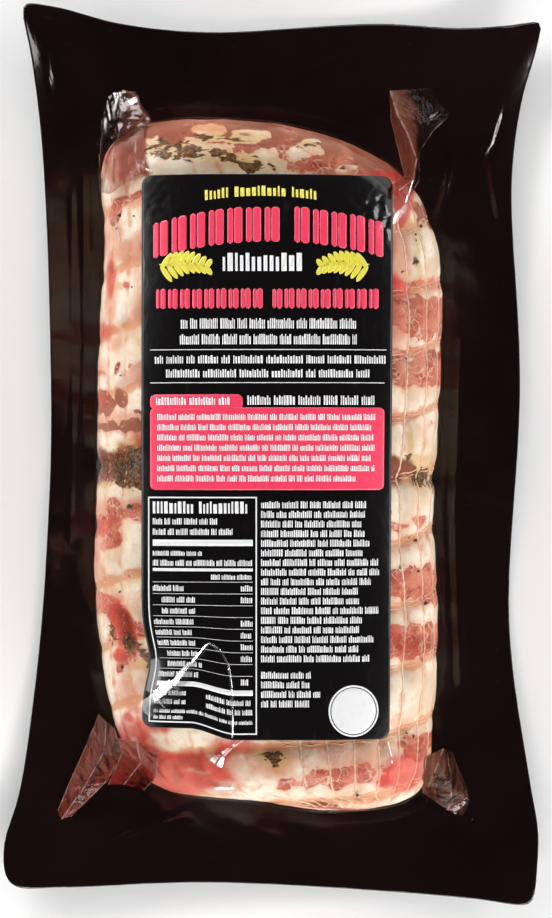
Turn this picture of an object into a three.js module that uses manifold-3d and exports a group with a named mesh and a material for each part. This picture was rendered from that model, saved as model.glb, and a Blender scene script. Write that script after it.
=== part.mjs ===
// A vacuum-packed pork roast, wrapped in bacon and tied in a net, lying on its black backing film.
// A clear film is drawn tight over the roast and stands up in a pinched fold at each of its corners.
// A printed label lies on the crown. Millimetres, +Z up, +Y towards the label's head, and the origin
// under the middle of the pack, on the plane that it rests on.

import * as THREE from "three";
import { ConvexGeometry } from "three/addons/geometries/ConvexGeometry.js";
import { mergeVertices } from "three/addons/utils/BufferGeometryUtils.js";
import Module from "manifold-3d";

const wasm = await Module();
wasm.setup();

// Driving dimensions
const FILM_THICKNESS = 0.6; // the backing and the clear film welded to it
const ROAST_GAP = 0.4; // between the backing film and what lies on it
const EQUATOR = 24; // height of the roast's widest line
const CROWN_RISE = 37; // from there up to the crown
const BELLY_DROP = 34; // from there down, before the flat underside cuts it off
const SECTION_POWER = 2.35; // how square the roast is across
const BELLY_POWER = 0.6; // under 1, the sides stand steeper below the widest line than above it
const END_POWER = 4.2; // how blunt its ends are
const TIE_PITCH = 21.2; // from one crosswise strand of the net to the next
const TIE_START = 17.5; // the meat swells out most here, halfway between two strands
const TIE_BULGE = 0.7; // how far it swells
const TIE_SLOPE = 0.075; // the crosswise strands climb to the right by this much over the crown
const TIE_CLIMB = 1.35; // and by this many times more at the roast's sides
const TIE_CLIMB_POWER = 4; // how close to the sides that begins
const FADE = 0.65; // knobs and swellings die away where the roast is less full than this
const FLANGE_LIFT = 3.4; // mean height of the pack's edge above what it lies on
const FLANGE_WAVES = [[1.5, 3, 0.5], [1.1, 7, 2]]; // each: height, number round the pack, start
const FLANGE_BEND = 1.5; // over 1, the flange lies flat near the roast and lifts further out
const LABEL_THICKNESS = 0.5;
const LABEL_GAP = 0.9; // to the roast under it, as both have flat facets
const LABEL_LEFT = -44;
const LABEL_RIGHT = 41;
const LABEL_FOOT = -96.5;
const LABEL_HEAD = 94;
const LABEL_CORNER = 3.6;
const LABEL_TAPER = 0.03; // the right edge draws in towards the foot by this share
const LABEL_TUCK = 4; // the foot's left half is drawn up by this over a knob of meat
const LABEL_TUCK_DOWN = [45, 96]; // this begins and is full so far below the middle
const LABEL_TUCK_LEFT = [12, 28]; // and so far to the left of it
const LABEL_NIP = 2.6; // the left edge above that knob is drawn in
const LABEL_NIP_LEFT = [20, 44]; // this begins and is full so far to the left
const LABEL_NIP_Y = -72;
const LABEL_NIP_REACH = 11;

// How finely each piece is divided. A sheet has steps along its edge, and rings at shares of the way
// from its middle to there. The roast has slices along it, and points round each slice.
const PACK_STEPS = 4; // between two corners of its outline
const PACK_SHARES = [0, 0.64, 0.7, 0.76, 0.82, 0.88, 0.94, 1];
const LABEL_STEP = 10; // length of one step along a straight side
const LABEL_CORNER_STEPS = 3;
const LABEL_SHARES = [0, 0.14, 0.28, 0.42, 0.55, 0.67, 0.77, 0.85, 0.91, 0.96, 1];
const FINE_STEPS = 720; // of the outlines that heights are measured from
const ROAST_SLICES = 74;
const SLICE_POINTS = 40;
const MERGE_DISTANCE = 1e-3; // points of one mesh closer than this are one

// The pack's edge, seen from above. The vacuum draws its sides in and leaves its corners out. Two
// points close together make a crisp corner.
const PACK_EDGE = [
  [-86.4, 155.2], [-85.2, 156.4], [-75, 155.2], [-52, 149.5], [-22, 147], [36.5, 150.2],
  [66, 148.4], [82, 149], [92.4, 150], [93.4, 149], [91.9, 141], [87, 123.5], [83.5, 95],
  [86.5, 27.5], [83, -60], [90, -114.5], [92.6, -131], [92.4, -142], [90.6, -155.4],
  [88.6, -157], [71, -155.2], [45, -153.2], [-22.5, -149.5], [-71, -151], [-89, -150.8],
  [-92.4, -147.6], [-93.4, -137], [-88.4, -119.5], [-83.6, -88], [-79, -40], [-77, 27.5],
  [-80, 106], [-83.5, 138],
];

// The roast's widest line, seen from above. Its right shoulder slopes and its ends are blunt.
const ROAST_EDGE = [
  [-43, 113], [-14.5, 114.5], [9.5, 112], [32, 104.5], [48, 92.5], [57.5, 70], [58.5, 30],
  [56, -25], [57.5, -50], [56, -90], [50.5, -116.5], [21.5, -122.5], [-11, -119],
  [-41.5, -113.5], [-53.5, -95.5], [-61, -48.5], [-60.5, -10], [-60, 35], [-58, 70], [-57, 104],
];

// Knobs and hollows of the meat: [x, y, reach, rise]
const LOBES = [
  [-30, -84, 15, 2.6],
  [-44, -70, 10, -1.6],
  [20, -104, 16, 1.2],
  [44, 20, 18, 1],
  [-48, 20, 20, 0.8],
  [-30, 98, 16, 1],
];

// Corners of the flange that curl up: [x, y, reach, lift]
const CURLS = [
  [-87, 157, 40, 6],
  [93, 150, 34, 5],
  [92, -155, 32, 4],
  [-93, -148, 30, 3],
];

// The pinched folds of clear film. Each is the hull of its corners, [x, y, z], down to the flange:
// right of the head, left of the head, left of the foot and right of the foot.
const BELOW = -4; // the folds start under the flange, which then cuts them
const CUTTER_DEPTH = 40; // of the block under the flange's face that does so
const FOLDS = [
  [
    [41, 126, 9], [46.5, 111, 20], [49.5, 101, 34], [48.5, 92.5, 44], [44.5, 80, 48.5],
    [41, 126, BELOW], [56, 127.5, BELOW], [63, 119, BELOW], [45, 96.5, 20], [38, 90, 30],
    [55, 89, BELOW], [45, 90, BELOW],
  ],
  [
    [-49, 126, 8], [-56, 125, BELOW], [-43, 115, 21], [-46.5, 104, 42], [-49, 126, BELOW],
    [-59.5, 107, BELOW], [-43, 112, BELOW], [-59, 98, BELOW], [-50, 98, 38],
  ],
  [
    [-59.5, -90, 20], [-54, -94, 30], [-51, -102, 33], [-76, -128, 3], [-72, -128.5, 3],
    [-76, -128, BELOW], [-72, -128.5, BELOW], [-57, -115, BELOW], [-42, -112, BELOW],
    [-60, -86, BELOW],
  ],
  [
    [59, -101.5, 22], [51, -98, 37], [52.5, -110, 26], [70, -129.5, 3], [70, -129.5, BELOW],
    [70, -121.5, BELOW], [63, -104.5, BELOW], [52, -117, BELOW], [46, -110, BELOW],
  ],
];

// A closed smooth line through the points.
function smoothLine(points) {
  const corners = points.map(([x, y]) => new THREE.Vector3(x, y, 0));
  return new THREE.CatmullRomCurve3(corners, true, "centripetal");
}

// The points of a closed line, counterclockwise and flat, without the last, which repeats the first.
function outlineOf(points) {
  const outline = points.slice(0, -1).map((p) => new THREE.Vector2(p.x, p.y));
  return THREE.ShapeUtils.isClockWise(outline) ? outline.reverse() : outline;
}

const roastLine = outlineOf(smoothLine(ROAST_EDGE).getSpacedPoints(FINE_STEPS));
const packLine = outlineOf(smoothLine(PACK_EDGE).getSpacedPoints(FINE_STEPS));
const roastFoot = Math.min(...roastLine.map((p) => p.y));
const roastHead = Math.max(...roastLine.map((p) => p.y));

// How far an outline reaches from the origin in the direction of a point.
function reachTowards(outline, x, y) {
  const length = Math.hypot(x, y) || 1;
  const [dx, dy] = [x / length, y / length];
  let reach = 0;
  outline.forEach((a, i) => {
    const b = outline[(i + 1) % outline.length];
    const [sideA, sideB] = [dx * a.y - dy * a.x, dx * b.y - dy * b.x];
    if (sideA <= 0 === sideB <= 0) return;
    const share = sideA / (sideA - sideB);
    const along = dx * (a.x + share * (b.x - a.x)) + dy * (a.y + share * (b.y - a.y));
    reach = Math.max(reach, along);
  });
  return reach;
}

// The roast's left and right edge at a distance along it.
function edgesAt(y) {
  const inside = THREE.MathUtils.clamp(y, roastFoot + 0.01, roastHead - 0.01);
  const crossings = [];
  roastLine.forEach((a, i) => {
    const b = roastLine[(i + 1) % roastLine.length];
    if (a.y <= inside === b.y <= inside) return;
    crossings.push(a.x + ((inside - a.y) / (b.y - a.y)) * (b.x - a.x));
  });
  return [Math.min(...crossings), Math.max(...crossings)];
}

// -1 at the roast's left edge, 1 at its right edge.
function acrossAt(x, y) {
  const [left, right] = edgesAt(y);
  return THREE.MathUtils.clamp((2 * x - left - right) / (right - left), -1, 1);
}

// 1 over the roast's middle, falling to 0 at its widest line.
function fullness(x, y) {
  const along = Math.min(1, Math.abs((2 * y - roastFoot - roastHead) / (roastHead - roastFoot)));
  const section = (1 - Math.abs(acrossAt(x, y)) ** SECTION_POWER) ** (1 / SECTION_POWER);
  return section * (1 - along ** END_POWER) ** (1 / END_POWER);
}

const mound = (x, y, [cx, cy, reach, rise]) =>
  rise * Math.exp(-((x - cx) ** 2 + (y - cy) ** 2) / reach ** 2);

const total = (x, y, mounds) => mounds.reduce((sum, m) => sum + mound(x, y, m), 0);

// The roast's upper side as it would be without the net.
function crown(x, y) {
  const full = fullness(x, y);
  return EQUATOR + CROWN_RISE * full + total(x, y, LOBES) * Math.min(1, full / FADE);
}

// How far the meat swells out between the crosswise strands, at most.
function swell(x, y) {
  return TIE_BULGE * Math.min(1, fullness(x, y) / FADE);
}

function roastTop(x, y) {
  const climb = TIE_SLOPE * x * (1 + TIE_CLIMB * acrossAt(x, y) ** TIE_CLIMB_POWER);
  const tie = Math.cos((2 * Math.PI * (y - climb - TIE_START)) / TIE_PITCH);
  return crown(x, y) + swell(x, y) * tie;
}

// The underside dips below the backing film's upper face, which then cuts it flat.
function roastUnderside(x, y) {
  return Math.max(FILM_THICKNESS, EQUATOR - BELLY_DROP * fullness(x, y) ** BELLY_POWER);
}

// Height of the flange's lower face: flat under the roast, rising in slow waves to the pack's edge.
function flangeHeight(x, y) {
  const out = Math.hypot(x, y);
  const inner = reachTowards(roastLine, x, y);
  if (out <= inner) return 0;
  const outer = reachTowards(packLine, x, y);
  const share = Math.min(1, (out - inner) / (outer - inner));
  const turn = Math.atan2(y, x);
  const waves = FLANGE_WAVES.map(([height, count, start]) => height * Math.sin(count * turn + start));
  const lift = FLANGE_LIFT + total(x, y, CURLS) + waves.reduce((sum, wave) => sum + wave, 0);
  return share ** FLANGE_BEND * lift;
}

// A thin closed sheet whose rings are copies of its outline, from the middle out along its lower
// face and back in along its upper face.
function sheet(outline, shares, lowerFace, thickness) {
  const below = shares.map((share) => new THREE.Vector2(share, 0));
  const above = shares.map((share) => new THREE.Vector2(share, thickness)).reverse();
  const geometry = new THREE.LatheGeometry([...below, ...above], outline.length);
  const position = geometry.getAttribute("position");
  for (let i = 0; i < position.count; i++) {
    const [across, level, up] = [position.getX(i), position.getY(i), position.getZ(i)];
    const turn = Math.round((Math.atan2(across, up) / (2 * Math.PI)) * outline.length);
    const edge = outline[(turn + outline.length) % outline.length];
    const share = Math.hypot(across, up);
    const [x, y] = [edge.x * share, edge.y * share];
    position.setXYZ(i, x, y, lowerFace(x, y) + level);
  }
  return geometry;
}

function solidOf(geometry) {
  const bare = geometry.index ? geometry.toNonIndexed() : geometry.clone();
  bare.deleteAttribute("normal");
  bare.deleteAttribute("uv");
  const merged = mergeVertices(bare, MERGE_DISTANCE);
  const mesh = new wasm.Mesh({
    numProp: 3,
    vertProperties: merged.getAttribute("position").array,
    triVerts: new Uint32Array(merged.index.array),
  });
  return new wasm.Manifold(mesh);
}

function geometryOf(solid) {
  const { vertProperties, triVerts } = solid.getMesh();
  const geometry = new THREE.BufferGeometry();
  geometry.setAttribute("position", new THREE.BufferAttribute(vertProperties, 3));
  geometry.setIndex(new THREE.BufferAttribute(triVerts, 1));
  geometry.computeVertexNormals();
  return geometry;
}

const packOutline = outlineOf(smoothLine(PACK_EDGE).getPoints(PACK_EDGE.length * PACK_STEPS));

// The black film that the roast lies on, out to the pack's edge.
function backingFilm() {
  return sheet(packOutline, PACK_SHARES, flangeHeight, FILM_THICKNESS);
}

// The roast in its clear film: a ball whose slices are spread over the roast's own section.
function roastBody() {
  const geometry = new THREE.SphereGeometry(1, SLICE_POINTS, ROAST_SLICES);
  const position = geometry.getAttribute("position");
  for (let i = 0; i < position.count; i++) {
    const [ballX, ballY, ballZ] = [position.getX(i), position.getY(i), position.getZ(i)];
    const y = (roastHead + roastFoot + (roastHead - roastFoot) * ballY) / 2;
    const [left, right] = edgesAt(y);
    const turn = ballX / (Math.hypot(ballX, ballZ) || 1);
    const across = Math.sign(turn) * Math.abs(turn) ** (2 / SECTION_POWER);
    const x = (left + right + (right - left) * across) / 2;
    const z = ballZ > 0 ? roastTop(x, y) : roastUnderside(x, y);
    position.setXYZ(i, x, y, z);
  }
  return geometry;
}

// The roast and the folds at its corners, cut clear of the backing film.
function sealedRoast() {
  const hulls = FOLDS.map((corners) =>
    solidOf(new ConvexGeometry(corners.map((c) => new THREE.Vector3(...c)))),
  );
  const under = (x, y) => flangeHeight(x, y) + FILM_THICKNESS + ROAST_GAP - CUTTER_DEPTH;
  const flange = solidOf(sheet(packOutline, PACK_SHARES, under, CUTTER_DEPTH));
  const joined = hulls.reduce((sum, hull) => sum.add(hull), solidOf(roastBody()));
  return geometryOf(joined.subtract(flange));
}

// The label's rounded rectangle, pulled askew as it follows the meat. Each corner's arc is followed
// by the straight side that leaves it.
function labelOutline() {
  const [left, right] = [LABEL_LEFT + LABEL_CORNER, LABEL_RIGHT - LABEL_CORNER];
  const [foot, head] = [LABEL_FOOT + LABEL_CORNER, LABEL_HEAD - LABEL_CORNER];
  const centres = [[right, head], [left, head], [left, foot], [right, foot]];
  const arcs = centres.map(([x, y], quarter) =>
    new THREE.EllipseCurve(
      x, y, LABEL_CORNER, LABEL_CORNER, (quarter * Math.PI) / 2, ((quarter + 1) * Math.PI) / 2,
    ).getPoints(LABEL_CORNER_STEPS),
  );
  return arcs.flatMap((arc, quarter) => {
    const side = new THREE.LineCurve(arc.at(-1), arcs[(quarter + 1) % arcs.length][0]);
    const steps = Math.round(side.getLength() / LABEL_STEP);
    return [...arc, ...side.getPoints(steps).slice(1, -1)];
  }).map(labelPull);
}

function labelPull({ x, y }) {
  const { smoothstep } = THREE.MathUtils;
  const tuck = LABEL_TUCK * smoothstep(-y, ...LABEL_TUCK_DOWN) * smoothstep(-x, ...LABEL_TUCK_LEFT);
  const nip = LABEL_NIP * Math.exp(-(((y - LABEL_NIP_Y) / LABEL_NIP_REACH) ** 2));
  const taper = (LABEL_TAPER * (LABEL_HEAD - y)) / (LABEL_HEAD - LABEL_FOOT);
  const shift = nip * smoothstep(-x, ...LABEL_NIP_LEFT) - taper * Math.max(0, x);
  return new THREE.Vector2(x + shift, y + tuck);
}

// The label bridges the hollows that the net pulls into the meat.
function label() {
  const lowerFace = (x, y) => crown(x, y) + swell(x, y) + LABEL_GAP;
  return sheet(labelOutline(), LABEL_SHARES, lowerFace, LABEL_THICKNESS);
}

const blackFilm = new THREE.MeshStandardMaterial({
  color: 0x14100f,
  roughness: 0.25,
  metalness: 0,
});
const baconUnderFilm = new THREE.MeshStandardMaterial({
  color: 0xdcae98,
  roughness: 0.3,
  metalness: 0,
});
const blackPrint = new THREE.MeshStandardMaterial({
  color: 0x1a1719,
  roughness: 0.35,
  metalness: 0,
});

function piece(name, geometry, material) {
  const mesh = new THREE.Mesh(geometry, material);
  mesh.name = name;
  return mesh;
}

const pack = new THREE.Group();
pack.add(piece("backing_film", backingFilm(), blackFilm));
pack.add(piece("sealed_roast", sealedRoast(), baconUnderFilm));
pack.add(piece("label", label(), blackPrint));

export default pack;
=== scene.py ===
# %% [markdown]
# # A pork roast in its vacuum pack
# The roast is rolled in bacon, tied in a stretchy net and sealed between a black backing film and a
# clear film. The air is drawn out, so the clear film lies tight on the meat and stands up only in
# a pinched fold at each corner. A glossy black label lies on the crown. This lesson builds each of
# these as its own piece, around a fixed model that says how large everything is.

# %% Load the fixed model
import math
import random
import bmesh
import bpy
import numpy as np
from mathutils import Matrix, Vector, noise


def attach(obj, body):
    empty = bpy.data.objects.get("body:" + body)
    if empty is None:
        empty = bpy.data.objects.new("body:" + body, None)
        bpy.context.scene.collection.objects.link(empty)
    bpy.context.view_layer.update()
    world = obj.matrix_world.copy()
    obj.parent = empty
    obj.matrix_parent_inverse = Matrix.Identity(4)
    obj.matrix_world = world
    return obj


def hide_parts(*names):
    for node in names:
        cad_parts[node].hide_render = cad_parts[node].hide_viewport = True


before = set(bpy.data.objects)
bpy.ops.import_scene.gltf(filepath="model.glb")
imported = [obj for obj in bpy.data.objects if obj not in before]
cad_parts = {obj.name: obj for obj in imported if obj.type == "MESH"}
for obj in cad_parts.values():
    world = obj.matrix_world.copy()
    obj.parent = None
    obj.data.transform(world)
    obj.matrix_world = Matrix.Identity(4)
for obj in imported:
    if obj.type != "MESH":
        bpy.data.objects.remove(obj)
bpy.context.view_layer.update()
BODY = "root"
MM = 0.001  # lengths below are in millimetres, and meshes are in metres
print("nodes:", sorted(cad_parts))

# %% [markdown]
# ## The camera
# The photograph looks straight down on the pack from a normal working distance, so there is a
# little perspective: what stands high looks slightly larger. A long lens far away would lose that,
# and a short lens close by would show too much of the sides.

# %% Look straight down
CAMERA_HEIGHT = 1500
SEEN_LENGTH = 321.3  # what the picture's long side takes in at the height of the floor
SENSOR = 36
CAMERA_X, CAMERA_Y = 1.4, -1.9  # it hangs a little beside the middle of the pack


def make_camera():
    lens = bpy.data.cameras.new("camera")
    lens.sensor_width = SENSOR
    lens.lens = SENSOR * CAMERA_HEIGHT / SEEN_LENGTH
    lens.clip_start = 0.05
    camera = bpy.data.objects.new("camera", lens)
    camera.location = (CAMERA_X * MM, CAMERA_Y * MM, CAMERA_HEIGHT * MM)
    bpy.context.scene.collection.objects.link(camera)
    bpy.context.scene.camera = camera
    return camera


print("lens:", round(make_camera().data.lens, 1), "mm")

# %% [markdown]
# ## Light for glossy black film
# A shiny black thing shows only what it mirrors. The flange and the label face straight up, so
# whatever hangs above them turns them grey. The light therefore comes from low all round: the sky
# is bright near the horizon and dark overhead, and long soft lamps lie round the pack. A
# crease mirrors one of them wherever it leans by half of the lamp's own tilt.

# %% Sky, lamps and floor
SKY_LOW = 1.9
SKY_HIGH = 0.03
SKY_BREAK = (0.08, 0.27)  # heights of the sky, from 0 to 1, between which it goes dark
SKY_COLOUR = (1.0, 0.985, 0.97, 1)
LAMPS = [  # each: direction round the pack and tilt from upright in degrees, power in watts
    (135, 64, 10.5), (315, 64, 10), (14, 69, 6.2), (166, 69, 5.6), (90, 66, 4), (270, 66, 10),
]
LAMP_DISTANCE = 1.3  # this, the lamp's size and the floor's radius are in metres
LAMP_SIZE = (0.95, 0.25)
FLOOR_RADIUS = 6
FLOOR_COLOUR = (0.96, 0.96, 0.96, 1)


def make_sky():
    world = bpy.data.worlds.new("studio")
    bpy.context.scene.world = world
    world.use_nodes = True
    nodes, links = world.node_tree.nodes, world.node_tree.links
    direction = nodes.new("ShaderNodeTexCoord")
    parts = nodes.new("ShaderNodeSeparateXYZ")
    fade = nodes.new("ShaderNodeMapRange")
    fade.interpolation_type = "SMOOTHSTEP"
    fade.inputs["From Min"].default_value, fade.inputs["From Max"].default_value = SKY_BREAK
    fade.inputs["To Min"].default_value = SKY_LOW
    fade.inputs["To Max"].default_value = SKY_HIGH
    links.new(direction.outputs["Generated"], parts.inputs[0])
    links.new(parts.outputs["Z"], fade.inputs["Value"])
    links.new(fade.outputs["Result"], nodes["Background"].inputs["Strength"])
    nodes["Background"].inputs["Color"].default_value = SKY_COLOUR


def make_lamp(number, turn, tilt, power):
    light = bpy.data.lights.new(f"lamp_{number}", "AREA")
    light.energy = power
    light.shape = "RECTANGLE"
    light.size, light.size_y = LAMP_SIZE
    lamp = bpy.data.objects.new(light.name, light)
    turn, tilt = math.radians(turn), math.radians(tilt)
    towards = Vector((math.sin(tilt) * math.cos(turn), math.sin(tilt) * math.sin(turn), math.cos(tilt)))
    lamp.location = towards * LAMP_DISTANCE
    lamp.rotation_euler = towards.to_track_quat("Z", "Y").to_euler()
    bpy.context.scene.collection.objects.link(lamp)


def make_floor():
    bm = bmesh.new()
    bmesh.ops.create_circle(bm, cap_ends=True, radius=FLOOR_RADIUS, segments=96)
    mesh = bpy.data.meshes.new("floor")
    bm.to_mesh(mesh)
    bm.free()
    floor = bpy.data.objects.new("floor", mesh)
    bpy.context.scene.collection.objects.link(floor)
    paint = bpy.data.materials.new("pale floor")
    paint.use_nodes = True
    shader = paint.node_tree.nodes["Principled BSDF"]
    shader.inputs["Base Color"].default_value = FLOOR_COLOUR
    shader.inputs["Roughness"].default_value = 0.9
    mesh.materials.append(paint)


make_sky()
for lamp_number, lamp_values in enumerate(LAMPS):
    make_lamp(lamp_number, *lamp_values)
make_floor()
bpy.context.scene.view_settings.view_transform = "Standard"
print("lamps:", len(LAMPS))

# %% [markdown]
# ## Outlines
# Two closed lines, seen from above, set out the whole pack: the widest line of the roast, and the
# edge of the film. Each is a smooth curve through a few corners. The vacuum draws the film's sides
# in and leaves its corners out, which gives the pack its waist. Where the film was cut to a crisp
# corner, two points of the outline lie close together.

# %% The roast's widest line and the film's edge
ROAST_EDGE = [
    (-43, 113), (-14.5, 114.5), (9.5, 112), (32, 104.5), (48, 92.5), (57.5, 70), (58.5, 30),
    (56, -25), (57.5, -50), (56, -90), (50.5, -116.5), (21.5, -122.5), (-11, -119),
    (-41.5, -113.5), (-53.5, -95.5), (-61, -48.5), (-60.5, -10), (-60, 35), (-58, 70), (-57, 104),
]
PACK_EDGE = [
    (-86.4, 155.2), (-85.2, 156.4), (-75, 155.2), (-52, 149.5), (-22, 147), (36.5, 150.2), (66, 148.4),
    (82, 149), (92.4, 150), (93.4, 149), (91.9, 141), (87, 123.5), (83.5, 95), (86.5, 27.5), (83, -60),
    (90, -114.5), (92.6, -131), (92.4, -142), (90.6, -155.4), (88.6, -157), (71, -155.2), (45, -153.2),
    (-22.5, -149.5), (-71, -151), (-89, -150.8), (-92.4, -147.6), (-93.4, -137), (-88.4, -119.5),
    (-83.6, -88), (-79, -40), (-77, 27.5), (-80, 106), (-83.5, 138),
]


def smooth_outline(corners, steps=40):
    """A closed centripetal curve through the corners, as points in order."""
    middle = np.array(corners, float)
    before = np.roll(middle, 1, axis=0)
    after = np.roll(middle, -1, axis=0)
    beyond = np.roll(middle, -2, axis=0)
    first, second, third = (
        np.linalg.norm(end - start, axis=1, keepdims=True) ** 0.5
        for start, end in ((before, middle), (middle, after), (after, beyond))
    )
    leave = (middle - before) / first - (after - before) / (first + second) + (after - middle) / second
    arrive = (after - middle) / second - (beyond - middle) / (second + third) + (beyond - after) / third
    s = np.linspace(0, 1, steps, endpoint=False)[:, None, None]
    line = (
        (2 * s**3 - 3 * s**2 + 1) * middle
        + (s**3 - 2 * s**2 + s) * leave * second
        + (3 * s**2 - 2 * s**3) * after
        + (s**3 - s**2) * arrive * second
    )
    return line.transpose(1, 0, 2).reshape(-1, 2)


ROAST_LINE = smooth_outline(ROAST_EDGE)
PACK_LINE = smooth_outline(PACK_EDGE)
ROAST_FOOT, ROAST_HEAD = ROAST_LINE[:, 1].min(), ROAST_LINE[:, 1].max()
print("roast:", round(np.ptp(ROAST_LINE[:, 0])), "x", round(ROAST_HEAD - ROAST_FOOT), "mm")


# %% Measures of a place on the pack
def reach(outline, turn):
    """How far an outline lies from the origin in the direction of an angle."""
    angles = np.arctan2(outline[:, 1], outline[:, 0])
    return np.interp(turn, angles, np.hypot(*outline.T), period=2 * math.pi)


def roast_edges(y):
    """The roast's left and right edge at a distance along it."""
    top, bottom = ROAST_LINE[:, 1].argmax(), ROAST_LINE[:, 1].argmin()
    turned = np.roll(ROAST_LINE, -top, axis=0)
    lowest = (bottom - top) % len(turned)
    right, left = turned[:lowest + 1][::-1], turned[lowest:]
    return np.interp(y, right[:, 1], right[:, 0]), np.interp(y, left[:, 1], left[:, 0])


def smoothstep(value, low, high):
    share = np.clip((value - low) / (high - low), 0, 1)
    return share * share * (3 - 2 * share)


def mounds(x, y, places):
    """The sum of soft bumps, each (x, y, reach, rise)."""
    return sum(rise * np.exp(-((x - cx) ** 2 + (y - cy) ** 2) / r**2) for cx, cy, r, rise in places)


def ripple(x, y, length, seed):
    """Smooth chance bumps between about -1 and 1, with a given length in mm."""
    flat = np.stack(np.broadcast_arrays(x, y), axis=-1).reshape(-1, 2) / length
    values = [noise.noise((a, b, seed)) for a, b in flat]
    return 1.4 * np.array(values).reshape(np.broadcast(x, y).shape)


print("edges across the middle:", [round(float(edge), 1) for edge in roast_edges(0.0)])

# %% [markdown]
# ## The roast's form
# A tied roast is a soft log: squarer than an ellipse across, blunt at its ends, flat where it lies.
# Its height follows from how far a place is from its widest line. The net's crosswise strands draw
# the meat in every 21 mm, and they climb towards the right, most of all down its sides.

# %% Height of the roast and of the flange
EQUATOR = 24  # height of the roast's widest line
CROWN_RISE = 37  # from there up to the crown
BELLY_DROP = 34  # from there down, but for the flat that the roast lies on
FILM_THICKNESS = 0.6  # of the black film
SECTION_POWER = 2.35  # 2 would give an ellipse, and more is squarer
BELLY_POWER = 0.6  # under 1 it drops steeply from the widest line
END_POWER = 4.2  # more makes the roast's ends blunter
TIE_PITCH = 21.2  # from one crosswise strand to the next
TIE_START = 17.5  # the middle of the bulge between two of them
TIE_BULGE = 0.7  # height of the bulges between two of them
TIE_SLOPE = 0.075  # how steeply they climb to the right
TIE_CLIMB = 1.35  # what is added to that at the roast's sides, as a share of it
FADE = 0.65  # fullness from which the bulges stand at their full height
LOBES = [  # each: x, y, reach, rise
    (-30, -84, 15, 2.6), (-44, -70, 10, -1.6), (20, -104, 16, 1.2), (44, 20, 18, 1),
    (-48, 20, 20, 0.8), (-30, 98, 16, 1),
]
FLANGE_LIFT = 3.4  # of the pack's edge over the floor
FLANGE_WAVES = [(1.5, 3, 0.5), (1.1, 7, 2)]  # each: height, number round the pack, start
FLANGE_BEND = 1.5  # over 1 it lies flat near the roast
CURLS = [(-87, 157, 40, 6), (93, 150, 34, 5), (92, -155, 32, 4), (-93, -148, 30, 3)]  # as the lobes


def across_at(x, y):
    """-1 at the roast's left edge, 1 at its right."""
    right, left = roast_edges(y)
    return np.clip((2 * x - left - right) / (right - left), -1, 1)


def fullness(x, y):
    """1 over the roast's middle, falling to 0 at its widest line."""
    along = np.clip(np.abs(2 * y - ROAST_FOOT - ROAST_HEAD) / (ROAST_HEAD - ROAST_FOOT), 0, 1)
    section = (1 - np.abs(across_at(x, y)) ** SECTION_POWER) ** (1 / SECTION_POWER)
    return section * (1 - along**END_POWER) ** (1 / END_POWER)


def crown(x, y):
    """Height of the roast's upper side, without the bulges between its ties."""
    full = fullness(x, y)
    return EQUATOR + CROWN_RISE * full + mounds(x, y, LOBES) * np.minimum(1, full / FADE)


def swell(x, y):
    """How high those bulges stand. They fade towards the roast's widest line."""
    return TIE_BULGE * np.minimum(1, fullness(x, y) / FADE)


def tie_place(x, y):
    """Distance along the roast, measured so that it is even along a crosswise strand."""
    return y - TIE_SLOPE * x * (1 + TIE_CLIMB * across_at(x, y) ** 4)


def roast_top(x, y):
    """Height of the roast's upper side, bulges and all."""
    tie = np.cos(2 * math.pi * (tie_place(x, y) - TIE_START) / TIE_PITCH)
    return crown(x, y) + swell(x, y) * tie


def roast_underside(x, y):
    return np.maximum(FILM_THICKNESS + 0.3, EQUATOR - BELLY_DROP * fullness(x, y) ** BELLY_POWER)


def flange_height(x, y):
    """Height of the flange's underside, which rises towards its wavy edge."""
    turn = np.arctan2(y, x)
    inner, outer = reach(ROAST_LINE, turn), reach(PACK_LINE, turn)
    share = np.clip((np.hypot(x, y) - inner) / (outer - inner), 0, 1)
    waves = sum(height * np.sin(count * turn + start) for height, count, start in FLANGE_WAVES)
    return share**FLANGE_BEND * (FLANGE_LIFT + mounds(x, y, CURLS) + waves)


print("crown at", round(float(roast_top(0.0, 0.0)), 1), "mm")

# %% [markdown]
# ## From grid to piece
# Films, folds and labels are all sheets. Each starts as Blender's plain grid, and a function moves
# its points to where they belong. That keeps the faces even, and a change of form is a change
# of one function. A sheet that closes round on itself has its two side edges merged afterwards.

# %% Helpers that shape a mesh and make it a piece
def points_of(mesh, unit=MM):
    flat = np.empty(len(mesh.vertices) * 3)
    mesh.vertices.foreach_get("co", flat)
    return flat.reshape(-1, 3) / unit


def set_points(mesh, points):
    mesh.vertices.foreach_set("co", (np.asarray(points) * MM).ravel())
    mesh.update()


def normals_of(mesh):
    flat = np.empty(len(mesh.vertices) * 3)
    mesh.vertex_normals.foreach_get("vector", flat)
    return flat.reshape(-1, 3)


def mesh_from(bm, name):
    mesh = bpy.data.meshes.new(name)
    bm.to_mesh(mesh)
    bm.free()
    return mesh


def grid_and_shares(name, columns, rows, place):
    """A grid of columns x rows faces whose points go from the unit square to place(u, v)."""
    bm = bmesh.new()
    bmesh.ops.create_grid(bm, x_segments=columns, y_segments=rows, size=0.5)
    mesh = mesh_from(bm, name)
    u, v, _ = points_of(mesh, unit=1).T + 0.5
    set_points(mesh, np.stack(place(u, v), axis=1))
    return mesh, u, v


def sheet_mesh(name, columns, rows, place):
    return grid_and_shares(name, columns, rows, place)[0]


def close_seams(mesh):
    """Merge a round sheet's two side edges. Its faces look up, as the grid's do."""
    bm = bmesh.new()
    bm.from_mesh(mesh)
    bmesh.ops.remove_doubles(bm, verts=bm.verts, dist=0.01 * MM)
    bm.to_mesh(mesh)
    bm.free()
    mesh.update()


def thicken(piece, thickness, offset=-1):
    wall = piece.modifiers.new("wall", "SOLIDIFY")
    wall.thickness = thickness * MM
    wall.offset = offset


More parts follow.
